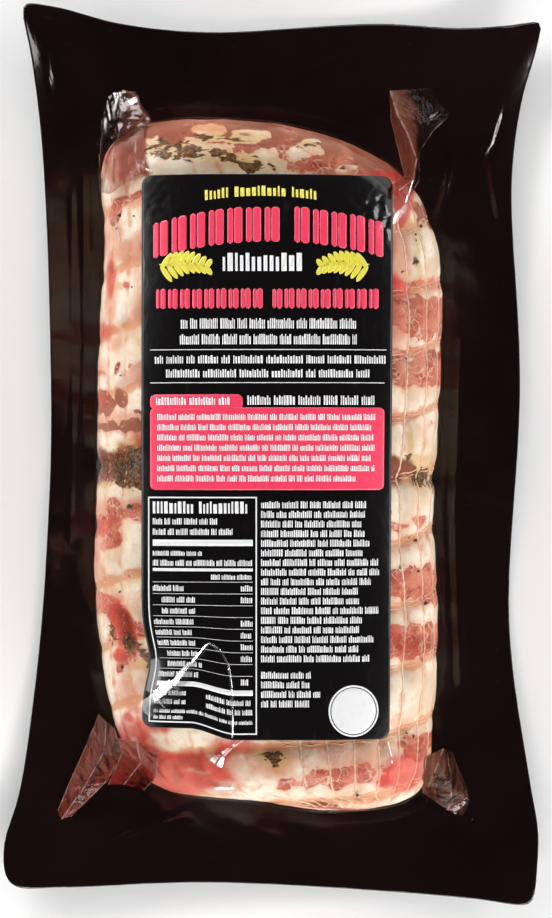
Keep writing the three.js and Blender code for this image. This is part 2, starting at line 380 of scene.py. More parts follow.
def make_piece(mesh, finish, replaces=None):
    """Put a mesh in the scene with its finish, riding on the part's one body."""
    piece = bpy.data.objects.new(mesh.name, mesh)
    bpy.context.scene.collection.objects.link(piece)
    mesh.shade_smooth()
    mesh.materials.append(finish)
    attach(piece, BODY)
    if replaces:
        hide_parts(replaces)
    print(piece.name, len(mesh.polygons), "faces")
    return piece


# %% Helpers that wire a material
def new_finish(name):
    finish = bpy.data.materials.new(name)
    finish.use_nodes = True
    return finish, finish.node_tree, finish.node_tree.nodes["Principled BSDF"]


def add_node(tree, kind, values=None, **options):
    """Add a node, set its options, and give each of its inputs a value or a link."""
    made = tree.nodes.new(kind)
    for option, value in options.items():
        setattr(made, option, value)
    for socket, value in (values or {}).items():
        if isinstance(value, bpy.types.NodeSocket):
            tree.links.new(value, made.inputs[socket])
        else:
            made.inputs[socket].default_value = value
    return made


def object_place(tree):
    return add_node(tree, "ShaderNodeTexCoord").outputs["Object"]


def stretch(tree, place, scale):
    return add_node(tree, "ShaderNodeMapping", {"Vector": place, "Scale": scale}).outputs["Vector"]


def grain(tree, place, size, detail=3.0, distortion=0.0):
    """Chance values round 0.5 whose lumps are about size mm wide."""
    values = {"Vector": place, "Scale": 1000 / size, "Detail": detail, "Distortion": distortion}
    return add_node(tree, "ShaderNodeTexNoise", values).outputs["Fac"]


def step(tree, value, low, high):
    """0 below low, 1 above high, smooth between."""
    values = {"Value": value, "From Min": low, "From Max": high}
    return add_node(tree, "ShaderNodeMapRange", values, interpolation_type="SMOOTHSTEP").outputs["Result"]


def calc(tree, operation, a, b=0.0):
    return add_node(tree, "ShaderNodeMath", {0: a, 1: b}, operation=operation).outputs[0]


def scaled(tree, value, factor, add=0.0):
    """The value times a factor, plus a constant."""
    values = {0: value, 1: factor, 2: add}
    return add_node(tree, "ShaderNodeMath", values, operation="MULTIPLY_ADD").outputs[0]


def mix(tree, factor, a, b):
    """The colour a where the factor is 0, and b where it is 1."""
    made = add_node(tree, "ShaderNodeMix", {0: factor}, data_type="RGBA")
    for socket, value in ((6, a), (7, b)):
        if isinstance(value, bpy.types.NodeSocket):
            tree.links.new(value, made.inputs[socket])
        else:
            made.inputs[socket].default_value = (*value, 1)
    return made.outputs[2]


def blotched(tree, place, size, edge, a, b, detail=3.0):
    """The colour a with lumps of b about size mm wide. The edge is where the chance values part."""
    return mix(tree, step(tree, grain(tree, place, size, detail), *edge), a, b)


def tinted(tree, colour, field, most, tint):
    """The colour with a tint over it: as strong as the field says, times the most that it may be."""
    return mix(tree, scaled(tree, field, most), colour, tint)


def bump(tree, height, depth, distance=1.0):
    values = {"Height": height, "Strength": depth, "Distance": distance * MM}
    return add_node(tree, "ShaderNodeBump", values).outputs["Normal"]


def connect(tree, value, shader, socket):
    tree.links.new(value, shader.inputs[socket])


# %% [markdown]
# ## The backing film
# The black film is what the pack lies on. It is smooth and glossy, with a trace of maroon, and it
# is pleated beside the roast, where the vacuum drew it in. Long soft creases run out
# to the corners. The pleats are real relief, because a mirror-like film shows every one of them.

# %% Pleats and creases of the flange
PLEATS = [  # each: points along a ridge, then its height and half width
    ([(-66, 96), (-65.5, 40), (-66, -2)], 0.3, 1.6),
    ([(-70, 90), (-69.5, 30), (-70.5, -30)], 0.2, 1.4),
    ([(-52, -134), (-26, -119.5)], 0.7, 1.5),
    ([(-60, -136), (-30, -127)], 0.5, 1.5),
    ([(76, 102), (79, 84)], 0.6, 1.6),
    ([(63, 105), (60.5, 92)], 0.9, 1.5),
    ([(66, 38), (64, -20), (66, -80)], 0.6, 2.4),
    ([(80.5, 117), (77.5, 107), (75, 103)], 0.9, 1.2),
    ([(-35, 146), (-30, 140)], 0.6, 1.0),
    ([(-84, 149.6), (-79, 149.2)], 0.7, 1.0), ([(-82, 153.5), (-76, 152.6)], 0.8, 1.4),
    ([(-78.5, 137), (-77.5, 128)], 0.6, 1.6), ([(81, 146.5), (87.5, 148.5)], 0.9, 1.3),
    ([(80, -133), (89, -136)], 0.7, 1.3), ([(-92, -137), (-88, -145)], 0.7, 1.2),
    ([(-87, -147), (-82, -149)], 0.6, 1.6), ([(-58.5, -132), (-25, -120.5)], 0.35, 1.6),
    ([(12, 133), (25, 139)], 0.5, 1.0), ([(64, 104), (58, 82)], 0.5, 1.6),
    ([(-62, 120), (-78, 138)], 0.7, 1.6),
    ([(62, 122), (80, 138)], 0.7, 1.6),
    ([(70, -128), (84, -144)], 0.7, 1.6),
    ([(-78, -128), (-86, -142)], 0.7, 1.6),
]


def line_distance(x, y, line):
    """How far points are from a line of straight stretches, seen from above."""
    nearest = np.full(np.shape(x), np.inf)
    for (ax, ay), (bx, by) in zip(line, line[1:]):
        length_squared = (bx - ax) ** 2 + (by - ay) ** 2
        share = np.clip(((x - ax) * (bx - ax) + (y - ay) * (by - ay)) / length_squared, 0, 1)
        nearest = np.minimum(nearest, np.hypot(x - ax - share * (bx - ax), y - ay - share * (by - ay)))
    return nearest


def ridges(x, y, lines):
    """Height of ridges along lines: each side is a flat slope, so all of it mirrors one lamp."""
    return sum(
        height * np.clip(1 - line_distance(x, y, line) / half, 0, 1) for line, height, half in lines
    )


def flange_relief(x, y):
    """Height of the pleats, of soft waves and of slanting streaks."""
    soft = 0.35 * ripple(x, y, 24, 3.0) + 0.1 * ripple(x, y, 7, 8.0)
    streaks = 0.16 * ripple(x * 0.45 + y * 0.9, (y * 0.45 - x * 0.9) * 0.25, 6, 5.0)
    return ridges(x, y, PLEATS) + soft + streaks


# %% The black film
UNDER_SHARE = 0.9  # out to this share of the roast's edge the film is hidden and needs few faces
UNDER_ROWS = 0.06  # the share of the grid's rows that lie there
BESIDE = (1.0, 1.08)  # shares of the roast's edge between which the creases begin
DEEPEST_CREASE = 0.25  # the creases are lifted by this, so that none cuts through the film
BLACK = (0.0045, 0.0018, 0.0022)
MAROON = (0.011, 0.0040, 0.0042)
DUST = (0.03, 0.024, 0.026)


def backing_top(x, y):
    """Height of the black film's upper side, creases and all."""
    beside = smoothstep(np.hypot(x, y) / reach(ROAST_LINE, np.arctan2(y, x)), *BESIDE)
    return flange_height(x, y) + FILM_THICKNESS + beside * (DEEPEST_CREASE + flange_relief(x, y))


def backing_place(u, v):
    turn = -2 * math.pi * u
    inner, outer = UNDER_SHARE * reach(ROAST_LINE, turn), reach(PACK_LINE, turn)
    hidden = inner * np.minimum(1, v / UNDER_ROWS)
    radius = hidden + (outer - inner) * np.clip((v - UNDER_ROWS) / (1 - UNDER_ROWS), 0, 1)
    x, y = radius * np.cos(turn), radius * np.sin(turn)
    return x, y, backing_top(x, y)


def film_black():
    finish, tree, shader = new_finish("black film")
    place = object_place(tree)
    cloud = grain(tree, place, 30)
    colour = blotched(tree, place, 0.9, (0.72, 0.8), mix(tree, cloud, BLACK, MAROON), DUST, 2.0)
    connect(tree, colour, shader, "Base Color")
    connect(tree, scaled(tree, cloud, 0.14, 0.1), shader, "Roughness")
    fine = calc(tree, "ADD", grain(tree, place, 5), scaled(tree, grain(tree, place, 1.4), 0.3))
    connect(tree, bump(tree, fine, 0.3, 0.4), shader, "Normal")
    return finish


backing = make_piece(
    sheet_mesh("black_backing", 680, 54, backing_place), film_black(), "backing_film"
)
close_seams(backing.data)
thicken(backing, FILM_THICKNESS - 0.1)

# %% [markdown]
# ## A skin round the roast
# The meat, the net and the clear film all follow the same closed skin, so one function gives it:
# turn goes round the roast from its crown, tilt runs along it from head to foot. Measured round
# its girth, the net's lengthwise strands are evenly spaced.

# %% The skin and its girth
STRAND_GIRTH = 10  # wanted distance between two lengthwise strands
FIRST_STRAND = 8.6  # from the crown
HALF_WIDTH = 59  # of the roast
WANDER = 0.5  # how far a strand strays to either side


def along_at(tilt):
    """Distance along the roast, from its head at 0 to its foot at half a turn."""
    return (ROAST_HEAD + ROAST_FOOT + (ROAST_HEAD - ROAST_FOOT) * np.cos(tilt)) / 2


def sideways(turn):
    """-1 where the skin is widest on the left, 1 where it is on the right."""
    return np.sign(np.sin(turn)) * np.abs(np.sin(turn)) ** (2 / SECTION_POWER)


def skin(turn, tilt):
    """Points of the roast's smooth outer skin."""
    y = along_at(tilt)
    right, left = roast_edges(y)
    x = (left + right + (right - left) * sideways(turn)) / 2
    z = np.where(np.cos(turn) > 0, roast_top(x, y), roast_underside(x, y))
    return np.stack(np.broadcast_arrays(x, y, z), axis=-1)


def skin_normals(turn, tilt, nudge=0.01):
    """Directions straight out of the skin."""
    round_it = skin(turn + nudge, tilt) - skin(turn - nudge, tilt)
    along_it = skin(turn, tilt + nudge) - skin(turn, tilt - nudge)
    normal = np.cross(along_it, round_it)
    return normal / np.maximum(np.linalg.norm(normal, axis=-1, keepdims=True), 1e-9)


def girth_table():
    """Turns from the crown down to the belly, with the way round the skin up to each."""
    turn = np.linspace(0, math.pi, 1500)
    across = HALF_WIDTH * np.sin(turn) ** (2 / SECTION_POWER)
    full = np.abs(np.cos(turn)) ** (2 / SECTION_POWER)
    below = np.maximum(FILM_THICKNESS, EQUATOR - BELLY_DROP * full**BELLY_POWER)
    height = np.where(turn < math.pi / 2, EQUATOR + CROWN_RISE * full, below)
    steps = np.hypot(np.diff(across), np.diff(height))
    return turn, np.concatenate([[0], np.cumsum(steps)])


GIRTH_TURN, GIRTH_LENGTH = girth_table()
HALF_GIRTH = GIRTH_LENGTH[-1]
STRANDS = round(2 * HALF_GIRTH / STRAND_GIRTH)
STRAND_PITCH = 2 * HALF_GIRTH / STRANDS


def girth_at(turn):
    """Distance round the roast from its crown, more than 0 to the right."""
    turn = (turn + math.pi) % (2 * math.pi) - math.pi
    return np.sign(turn) * np.interp(np.abs(turn), GIRTH_TURN, GIRTH_LENGTH)


def turn_at(girth):
    """The turn that lies at a distance round the roast from its crown."""
    girth = (girth + HALF_GIRTH) % (2 * HALF_GIRTH) - HALF_GIRTH
    return np.sign(girth) * np.interp(np.abs(girth), GIRTH_LENGTH, GIRTH_TURN)


def stray(y, girth):
    """How far a lengthwise strand strays from its even place."""
    return WANDER * np.sin(y / 13 + girth / 9) + 0.5 * WANDER * np.sin(y / 5.1 + girth / 4)


print("girth", round(2 * HALF_GIRTH), "mm,", STRANDS, "strands,", round(STRAND_PITCH, 1), "mm apart")

# %% [markdown]
# ## The meat's relief
# Between the strands the meat swells into small cushions, longer than they are wide. The relief
# only ever goes inwards from the skin, so the roast never grows past its fixed size. A gap between
# two slices of bacon, where the herbs show, is pressed in a little deeper.

# %% Cushions between the strands
LONG_GROOVE = 0.65  # depth under a lengthwise strand
CROSS_GROOVE = 0.65  # depth under a pair of crosswise threads
CROSS_GROOVE_WIDTH = 2.4
GAPS = [(48, -8.6, 22, 2.6, 1.6), (-52, -4.6, 14, 3.6, 1.4)]  # each: x, y, half sizes, depth
SLACK_HEAD = (84, 102)  # over this stretch towards the head the net goes slack
SLACK_LEFT = (10, 45)  # and over this one to the left a little


def tie_distance(x, y):
    """Distance to the nearest crosswise strand."""
    from_strand = (tie_place(x, y) - TIE_START) % TIE_PITCH
    return np.abs(from_strand - TIE_PITCH / 2)


def strand_distance(y, girth):
    """Distance to the nearest lengthwise strand."""
    from_strand = (girth - stray(y, girth) - FIRST_STRAND) % STRAND_PITCH
    return np.minimum(from_strand, STRAND_PITCH - from_strand)


def cushion(y, girth):
    """0 at a lengthwise strand, 1 halfway between two."""
    return np.sin(math.pi * strand_distance(y, girth) / STRAND_PITCH)


def net_pressure(x, y):
    """How hard the net presses on the meat: hardly at the head, and less on the left."""
    return (1 - 0.9 * smoothstep(y, *SLACK_HEAD)) * (1 - 0.35 * smoothstep(-x, *SLACK_LEFT))


def meat_depth(x, y, girth):
    """How deep the meat lies under the skin."""
    pressure = net_pressure(x, y)
    long_groove = LONG_GROOVE * (1 - cushion(y, girth)) * pressure
    cross_groove = CROSS_GROOVE * np.exp(-((tie_distance(x, y) / CROSS_GROOVE_WIDTH) ** 2)) * pressure
    gaps = sum(
        depth * np.exp(-(((x - gx) / rx) ** 2) - ((y - gy) / ry) ** 2) for gx, gy, rx, ry, depth in GAPS
    )
    lumps = 0.25 * (1 + ripple(x, y, 9, 2.0)) + 0.1 * (1 + ripple(x, y, 3, 6.0))
    return long_groove + cross_groove + gaps + lumps


def roast_mesh(columns=240, rows=400):
    bm = bmesh.new()
    bmesh.ops.create_uvsphere(bm, u_segments=columns, v_segments=rows, radius=1)
    mesh = mesh_from(bm, "roast_in_bacon")
    ball_x, ball_z, ball_y = points_of(mesh, unit=1).T
    turn = np.arctan2(ball_x, -ball_z)
    tilt = np.arccos(np.clip(ball_y, -1, 1))
    points = skin(turn, tilt)
    set_points(mesh, points)
    x, y, z = points.T
    inwards = meat_depth(x, y, girth_at(turn)) * smoothstep(z, FILM_THICKNESS, 6)
    set_points(mesh, points - normals_of(mesh) * inwards[:, None])
    return mesh, x, y, girth_at(turn)


ROAST_MESH, MEAT_X, MEAT_Y, MEAT_GIRTH = roast_mesh()
print("roast points:", len(MEAT_X))

# %% [markdown]
# ## Where fat, lean and herbs lie
# Streaky bacon is laid crosswise, so its fat and lean run in bands across the roast. Each patch
# below is an ellipse with soft edges, written on the mesh as a colour attribute. The material
# later cuts the soft edges sharp along fine chance noise, as real muscle ends.

# %% Patches painted on the meat
LEAN = [  # each: x, y, half width, half height, strength and slope; under 0 it takes lean away
    (-20, -121.5, 15, 1.2, 0.8), (22, -121.8, 12, 1, 0.8), (-2, -120.6, 9, 0.5, 0.7),
    (50.5, 57.5, 16.5, 1.9, 0.7), (50.5, 45.5, 16.5, 7.6, 1), (50.5, 29, 16.5, 6.3, 1),
    (50.5, 15, 16.5, 0.7, 0.4, 0.3), (41, -25, 7, 2.5, 0.6), (51.5, -24, 3.5, 2, 0.7),
    (50.5, -44, 16.5, 5.6, 1), (50.5, -64.5, 16.5, 6.1, 1), (54, -98.5, 13, 2.5, 0.9),
    (60.5, -50.5, 7, 1.9, 1), (40, 40, 6, 3.4, -0.8), (48.5, 33, 1.5, 1.4, -0.9),
    (44.5, -44.5, 1.5, 1.4, -0.5), (57.5, 9.5, 10, 1.7, 0.42), (-53, 28.5, 1, 2.4, 0.9, 1),
    (-48, 29, 1, 0.8, 0.9), (-63, 27.5, 6, 1.7, 0.7), (-61, 17, 7.5, 4.1, 1), (-51, 19, 2.5, 3.2, 0.95),
    (-42, 13.5, 7, 1.4, 0.6), (-52, 9, 16.5, 2.5, 0.62), (-55, -18.5, 3, 3.2, 0.95),
    (-60, -24, 8.5, 3.4, 1), (-44, -20, 8.5, 2.7, 1), (-54, -29.5, 4, 3.1, 0.9, 0.1),
    (-61, -51, 7.5, 4.4, 0.95), (-51.5, -59, 5.5, 8.3, 0.95, -1.3), (-51, -68.5, 3, 3.2, 0.8),
    (-52.5, -73.5, 1.5, 2.5, 0.7), (-41.5, -59.5, 6.5, 2.4, 0.9), (5.5, -112, 4.5, 3.1, 0.8),
    (14, -110.5, 3, 3.7, 0.8), (22.5, -110, 4, 3.9, 0.85), (30, -109, 2.5, 3.9, 0.9),
    (37.5, -109, 3, 5.1, 0.6), (49.5, -102.5, 5, 3.4, 0.95), (-3, -99.5, 3, 1.9, 0.5),
    (12, -98, 7.5, 1.4, 0.5, 0.2), (-54, 82, 2.5, 4.1, 0.95), (-45.5, 87.5, 10, 1.5, 0.8, 0.25),
    (-35.5, 111.5, 18.5, 5.8, 0.9, -0.03), (-9, 110, 18.5, 7.3, 1, -0.12),
    (14, 104.5, 12.5, 10.2, 1, -0.25), (33.5, 99.5, 14, 9.8, 1, -0.5), (-56, 107, 12.5, 8.8, 0.8),
    (-20, 109.5, 6.5, 2.4, -1, -0.15), (-6, 108, 6, 2.4, -1, -0.05), (11.5, 102, 6, 2.4, -1, 0.02),
    (13.5, 105, 4, 1.7, -0.9, 0.3), (-15.5, 106, 10, 0.8, -0.8, -0.1), (26, 96.5, 5, 1.5, -0.8, 0.1),
    (-49.5, 91.5, 5, 2.5, -0.8), (57, 79, 10, 4.2, 0.6, -0.8), (21, -110, 23.5, 4.6, 0.56, 0.06),
]
DARK = [  # meat dark with blood, as in the gaps between slices
    (60, 33.5, 7, 1.9, 0.6), (61, -47, 6.5, 2.9, 0.5), (-44, -18, 9, 0.8, 0.45, 0.25),
    (-9.5, 108.5, 2, 1, 0.7), (-2.5, 103.5, 8.5, 0.8, 0.4, -0.1), (-3, 112, 12.5, 1.5, 0.5, -0.1),
    (26.5, 104.5, 7, 2, 0.45, -0.5), (17, -121, 7.5, 1.2, 0.8), (-29.5, 109, 1, 0.5, 0.8),
    (40.5, -6, 6.5, 4.4, 1.3), (47.5, -7, 2, 2.2, 1), (-60.5, -4.5, 9, 5, 1.4),
    (-45, -4.5, 12, 6.2, 1.3), (50.5, -66, 16.5, 4.2, 0.45),
    (-50.5, -57.5, 3.5, 5.8, 0.7, -0.8),
]
HERBS = [  # chopped rub
    (-49, -64, 2.5, 3.6, 1, -0.4), (-55, -61.5, 1.5, 3.7, 0.7, -0.5), (-41, -71, 6, 2.9, 0.9, -0.9),
    (50, 65, 1, 2, 0.8), (44, -75, 0.5, 1, 0.5), (50.5, -101, 1, 0.8, 0.5), (-12, 106, 5, 0.8, 0.6),
    (-5, 100, 0.5, 0.5, 0.7), (11, 99.5, 1, 0.7, 0.7), (13, 104.5, 1.5, 0.5, 0.7), (23, 97, 1, 1, 0.8),
    (11.5, 107, 2, 0.7, 0.5), (-37.5, 106, 3.5, 0.8, 0.6, 0.1), (0, -103, 4, 2.2, 0.8),
    (-41, 110.5, 2.5, 1.4, 0.5, 0.3), (51.5, -8, 3.5, 2.9, 1.15), (60, -10.5, 7, 3.4, 0.95),
    (46, -1.5, 1, 1.5, 0.8), (-45, -5, 10, 6.3, 1.4), (-60.5, -4.5, 8, 3.9, 0.75),
    (-38, 103, 6.5, 3.9, 0.66, 0.15), (-28, 102.5, 6, 3.7, 0.8, -0.25),
    (-25.5, 103.5, 1.5, 1.4, 1, -0.2), (-30.5, 104.5, 2, 1.4, 1), (-32, 99.5, 9, 1, 0.6, -0.1),
    (-15, 100, 6, 2.4, 0.85, -0.3), (-6, 96.5, 4, 2, 1.1), (0.5, 97, 2.5, 1.4, 0.65),
    (-23, 107.5, 4, 1.4, 0.8, -0.1), (13, 104, 3.5, 1.5, 0.6, 0.2), (23.5, 97, 1, 1, 0.9),
]
WET = [  # red juice held against the meat by the film
    (-33, -102.5, 22.5, 14.9, 1.5), (44.5, -109, 10, 7.6, 1.1), (59, -105, 8.5, 5.9, 0.7),
    (-61, 17.5, 7.5, 4.6, 0.6), (-61.5, 41.5, 7, 4.2, 0.85), (-63, -34, 5.5, 4.2, 0.6),
    (44, -64.5, 10, 5.4, 0.6), (39, 71.5, 5, 6.3, 0.75), (41, 55.5, 7, 4.8, 1.15),
    (45, 85.5, 4, 8.5, 1.5), (-49.5, -0.5, 3, 2, 0.9), (-41, 4, 6, 3.7, 0.8),
    (41.5, 94, 7.5, 2.2, 1.3, -0.1), (40, 44, 6, 7.3, 0.45), (39.5, 11.5, 5.5, 1.5, 0.6),
    (53.5, -27, 1.5, 4.2, 0.55), (61, -48, 6.5, 3.4, 0.6), (-50, 57.5, 1.5, 1.2, 1.3),
    (-55.5, 60, 1.5, 8.1, 0.9), (-61.5, -24.5, 7, 3.6, 0.7), (-51, -58.5, 5.5, 8.5, 0.9, -1.3),
    (-51.5, -68.5, 2.5, 2.4, 0.9), (-41.5, -59, 6.5, 2.4, 0.6), (-44, -18.5, 8.5, 1, 0.6, 0.25),
    (-49.5, -90, 2.5, 2.4, 1), (-45, 69.5, 1, 1.9, 0.7), (-18, -99, 7, 2.4, 0.8),
    (-43, -100, 3, 6.8, 1), (-32.5, -98, 10, 3.9, -1, -0.08), (-24.5, -95, 8, 3.9, -1, -0.12),
    (-47, -100.5, 2, 2.7, -0.7), (-21.5, -102, 2, 3.6, -0.6), (-26, -107.5, 6.5, 1.4, -0.45),
    (-12, -116, 8.5, 2.9, -1), (-9.5, -105.5, 6, 3.7, -1), (29, -115.5, 6, 1.2, 0.4, 0.1),
    (5.5, -112.5, 4, 2.7, 0.5), (29.5, -109.5, 2.5, 4.1, 0.5),
]
BLUSH = [  # fat stained pink
    (0, -121.5, 45, 2.4, 0.7),
    (-45.5, 85.5, 10, 2.5, 0.9), (-53.5, 75, 2.5, 9.3, 0.6), (-46, 71, 11, 4.4, 0.95, 0.35),
    (-41.5, 58, 6.5, 10.2, 0.6), (-55, 54, 2, 13.6, 0.9), (-45, 47.5, 9.5, 4.1, 0.8, 0.6),
    (-54.5, 40, 3.5, 5.8, 0.7), (-45, 42, 10, 2.2, 0.4, 0.6), (-62, 28, 6.5, 7.1, 0.6),
    (-43.5, 27, 8, 4.4, 0.9, 0.4), (-52, 10, 16.5, 4.1, 0.8), (-44.5, 5.5, 9, 2.7, 0.8, 0.6),
    (-52, -19, 16.5, 4.4, 0.8), (-63, -39.5, 6, 7.5, 0.9), (-59.5, -29.5, 9, 4.1, 0.6),
    (-52, -51.5, 16.5, 5.1, 0.4), (-45, -69.5, 9.5, 4.2, 0.9), (-49.5, -82.5, 5.5, 6.8, 0.75),
    (41, 65, 7, 16.1, 1), (50.5, 57, 16.5, 3.1, 0.8), (40, 12, 6, 2.9, 0.7), (57.5, 9.5, 10, 2.4, 0.4),
    (41, 39, 7, 4.6, 0.7), (45, -32.5, 11, 2.9, 0.5, 0.3), (50.5, -51.5, 16.5, 3.2, 0.5, 0.3),
    (47, -92.5, 6.5, 3.4, 0.6), (-17, -107, 7.5, 10.5, 0.8), (47.5, -95.5, 7, 3.4, 0.5),
    (-1, -103, 10.5, 7.1, 0.75), (26.5, -103.5, 17, 6.1, 0.65),
    (-56.5, 96.5, 12, 3.7, 0.9), (-61.5, 75, 7, 12.7, 0.8), (-27.5, -103.5, 5, 4.8, 0.6),
]
TAN = [  # fat stained by the rub's oil
    (-10, 108, 16, 3, 0.7),
    (46.5, 3, 1, 8.5, 0.8), (50.5, -3, 16.5, 2.5, 0.9), (56, -7.5, 11, 4.1, 1), (60.5, 2, 7, 5.9, 0.6),
    (55, -11.5, 12, 1.4, 0.6), (51, 65.5, 1.5, 13.2, 0.6), (49, 79, 4, 1.7, 0.8),
    (60, 65, 7.5, 2.2, 0.5), (-52, 0, 16.5, 1.7, 0.9, 0.4), (-48.5, -13.5, 2, 1.7, 0.6),
    (-41, 37.5, 6, 3.1, 1), (-53, 56.5, 2, 1.5, 1), (-45, -40.5, 9.5, 3.6, 0.7, 0.6),
    (-52, -39, 0.5, 7.1, 0.5), (-44, -71.5, 8.5, 2, 0.8, -0.5), (-44.5, -65.5, 1.5, 4.4, 0.7),
    (-34, 109.5, 9.5, 3.1, 0.7), (-14, 106, 10.5, 2.2, 0.9), (12.5, 104.5, 4.5, 1.4, 0.8),
    (17, 98, 7.5, 2.4, 0.4), (-0.5, -102.5, 6.5, 4.1, 1), (7, -98, 4.5, 2.5, 0.4),
    (50, -100.5, 3, 1.4, 0.5), (29, -116.5, 1.5, 1.4, 0.5), (-52, -10.5, 16.5, 1, 0.9),
    (-33.5, 103, 11, 3.9, 0.85), (-8.5, 100, 18, 4.4, 0.62), (-59, 98.5, 9.5, 4.4, 0.6),
    (-45, 1.5, 9.5, 3.1, 0.9),
]
BROWN = [  # lean that has dulled
    (-54, 13, 16, 9, 0.9), (-50, 72, 14, 10, 0.7),
    (15.5, 105.5, 11, 5.8, 0.8, -0.2), (34, 100, 11, 5.8, 0.8, -0.5), (-38, 110, 5.5, 2.7, 0.7),
    (56, 79.5, 11, 5.1, 0.9, -0.5), (-61, -4.5, 7.5, 3.7, 0.8), (60.5, -9, 7, 3.4, 0.8),
    (-56.5, 91, 12, 4.4, 0.8), (-60, -24, 8.5, 3.4, 0.4), (49.5, -102.5, 5, 3.4, 0.5),
    (-53, 56.5, 2, 1.5, 0.7), (-44.5, 5.5, 9, 2.7, 0.6, 0.6), (-7.5, 109.5, 17, 7.1, 0.85, -0.1),
    (-41, 110, 18.5, 6.8, 0.85),
]
SCALLOP = 1.4  # a band's edge bulges by this between two strands
LONG_STAIN, CROSS_STAIN = 1.3, 1.9  # how far juice spreads beside the net's strands


def painted(x, y, patches):
    """The strongest patch at each place: 0.5 of its strength on its outline."""
    value = np.zeros(len(x))
    for cx, cy, half_width, half_height, strength, *slope in patches:
        rise = slope[0] * (x - cx) if slope else 0
        far = np.hypot((x - cx) / half_width, (y - cy - rise) / half_height)
        cover = np.clip(1.5 - far, 0, 1) * strength
        value = np.maximum(value, cover) if strength > 0 else value * (1 + cover)
    return value


def paint(mesh, name, channels):
    """Write up to four channels on a mesh's points as one colour attribute."""
    colours = np.zeros((len(mesh.vertices), 4))
    for number, channel in enumerate(channels):
        colours[:, number] = np.clip(channel, 0, 1)
    layer = mesh.color_attributes.new(name, "FLOAT_COLOR", "POINT")
    layer.data.foreach_set("color", colours.ravel())


def paint_meat():
    x = MEAT_X + 1.6 * ripple(MEAT_X, MEAT_Y, 14, 11.0)
    scallop = SCALLOP * (cushion(MEAT_Y, MEAT_GIRTH) - 0.5) * net_pressure(MEAT_X, MEAT_Y)
    y = MEAT_Y + 1.1 * ripple(MEAT_X, MEAT_Y, 11, 12.0) - scallop
    fields = [painted(x, y, patches) for patches in (LEAN, DARK, HERBS, WET)]
    paint(ROAST_MESH, "meat", fields)
    near_long = 0.6 * np.exp(-((strand_distance(MEAT_Y, MEAT_GIRTH) / LONG_STAIN) ** 2))
    near_cross = np.exp(-((tie_distance(MEAT_X, MEAT_Y) / CROSS_STAIN) ** 2))
    stains = [painted(x, y, patches) for patches in (BLUSH, TAN, BROWN)]
    paint(ROAST_MESH, "stains", stains + [np.maximum(near_long, near_cross)])
    return fields


print("lean share:", round(float((paint_meat()[0] > 0.5).mean()), 2))

# %% [markdown]
# ## Raw bacon
# Fat is cream and slightly translucent, never pure white. Lean is pink to brown-red, made of small
# bundles with pale veins between. Both let light in a few millimetres, so subsurface scattering
# softens them. Juice stains the meat pink along the strands.

# %% Bacon material
FAT_DULL, FAT_PALE, FAT_SHADE = (0.63, 0.46, 0.32), (0.82, 0.72, 0.60), (0.70, 0.53, 0.38)
FAT_BY_LEAN, FAT_PINK, FAT_OILY = (0.66, 0.33, 0.22), (0.62, 0.25, 0.16), (0.56, 0.37, 0.15)
STRAND_STAIN = (0.60, 0.26, 0.13)
LEAN_RED, LEAN_PINK, LEAN_DEEP = (0.41, 0.075, 0.045), (0.60, 0.22, 0.14), (0.34, 0.05, 0.032)
LEAN_FLECK, LEAN_VEIN, LEAN_BROWN = (0.66, 0.36, 0.26), (0.70, 0.50, 0.38), (0.23, 0.080, 0.042)
JUICE_BRIGHT, JUICE_DEEP, BLOOD = (0.62, 0.056, 0.042), (0.43, 0.034, 0.026), (0.17, 0.024, 0.009)
LEAF_BLACK, LEAF_OLIVE, LEAF_YELLOW = (0.030, 0.009, 0.003), (0.165, 0.062, 0.016), (0.30, 0.26, 0.06)
SWIRLS, SWIRL = 220, 0.006  # swirls to a metre, and metres by which they bend the muscle bundles
BUNDLES = 250  # muscle bundles to a metre


def channels(tree, name):
    """The red, green, blue and alpha of a colour attribute."""
    layer = add_node(tree, "ShaderNodeVertexColor", layer_name=name)
    parts = add_node(tree, "ShaderNodeSeparateColor", {0: layer.outputs["Color"]}).outputs
    return parts[0], parts[1], parts[2], layer.outputs["Alpha"]


def soften(tree, field, ragged, low=0.15, high=0.8):
    """A painted field with a ragged edge."""
    return step(tree, calc(tree, "ADD", field, scaled(tree, ragged, 0.8, -0.4)), low, high)


def fat_colour(tree, place, ragged, lean_near, blush, tan, strands):
    fat = blotched(tree, place, 16, (0.35, 0.65), FAT_DULL, FAT_PALE)
    fat = blotched(tree, place, 3.5, (0.5, 0.75), fat, FAT_SHADE)
    fat = tinted(tree, fat, lean_near, 0.5, FAT_BY_LEAN)
    fat = tinted(tree, fat, soften(tree, blush, ragged), 0.72, FAT_PINK)
    fat = tinted(tree, fat, soften(tree, tan, ragged), 0.72, FAT_OILY)
    patchy = calc(tree, "ADD", strands, scaled(tree, grain(tree, place, 5, 4.0), 1.6, -0.8))
    return tinted(tree, fat, step(tree, patchy, 0.2, 0.8), 0.85, STRAND_STAIN)


def muscle_bundles(tree, place):
    """How far a place is from the edge of its bundle of muscle."""
    swirl = add_node(tree, "ShaderNodeTexNoise", {"Vector": place, "Scale": SWIRLS, "Detail": 2.0})
    sway = {0: swirl.outputs["Color"], 1: (SWIRL, SWIRL, SWIRL)}
    bend = add_node(tree, "ShaderNodeVectorMath", sway, operation="MULTIPLY").outputs[0]
    bent = add_node(tree, "ShaderNodeVectorMath", {0: place, 1: bend}, operation="ADD").outputs[0]
    cells = {"Vector": stretch(tree, bent, (0.75, 1, 1)), "Scale": BUNDLES, "Randomness": 1.0}
    return add_node(tree, "ShaderNodeTexVoronoi", cells, feature="DISTANCE_TO_EDGE").outputs["Distance"]


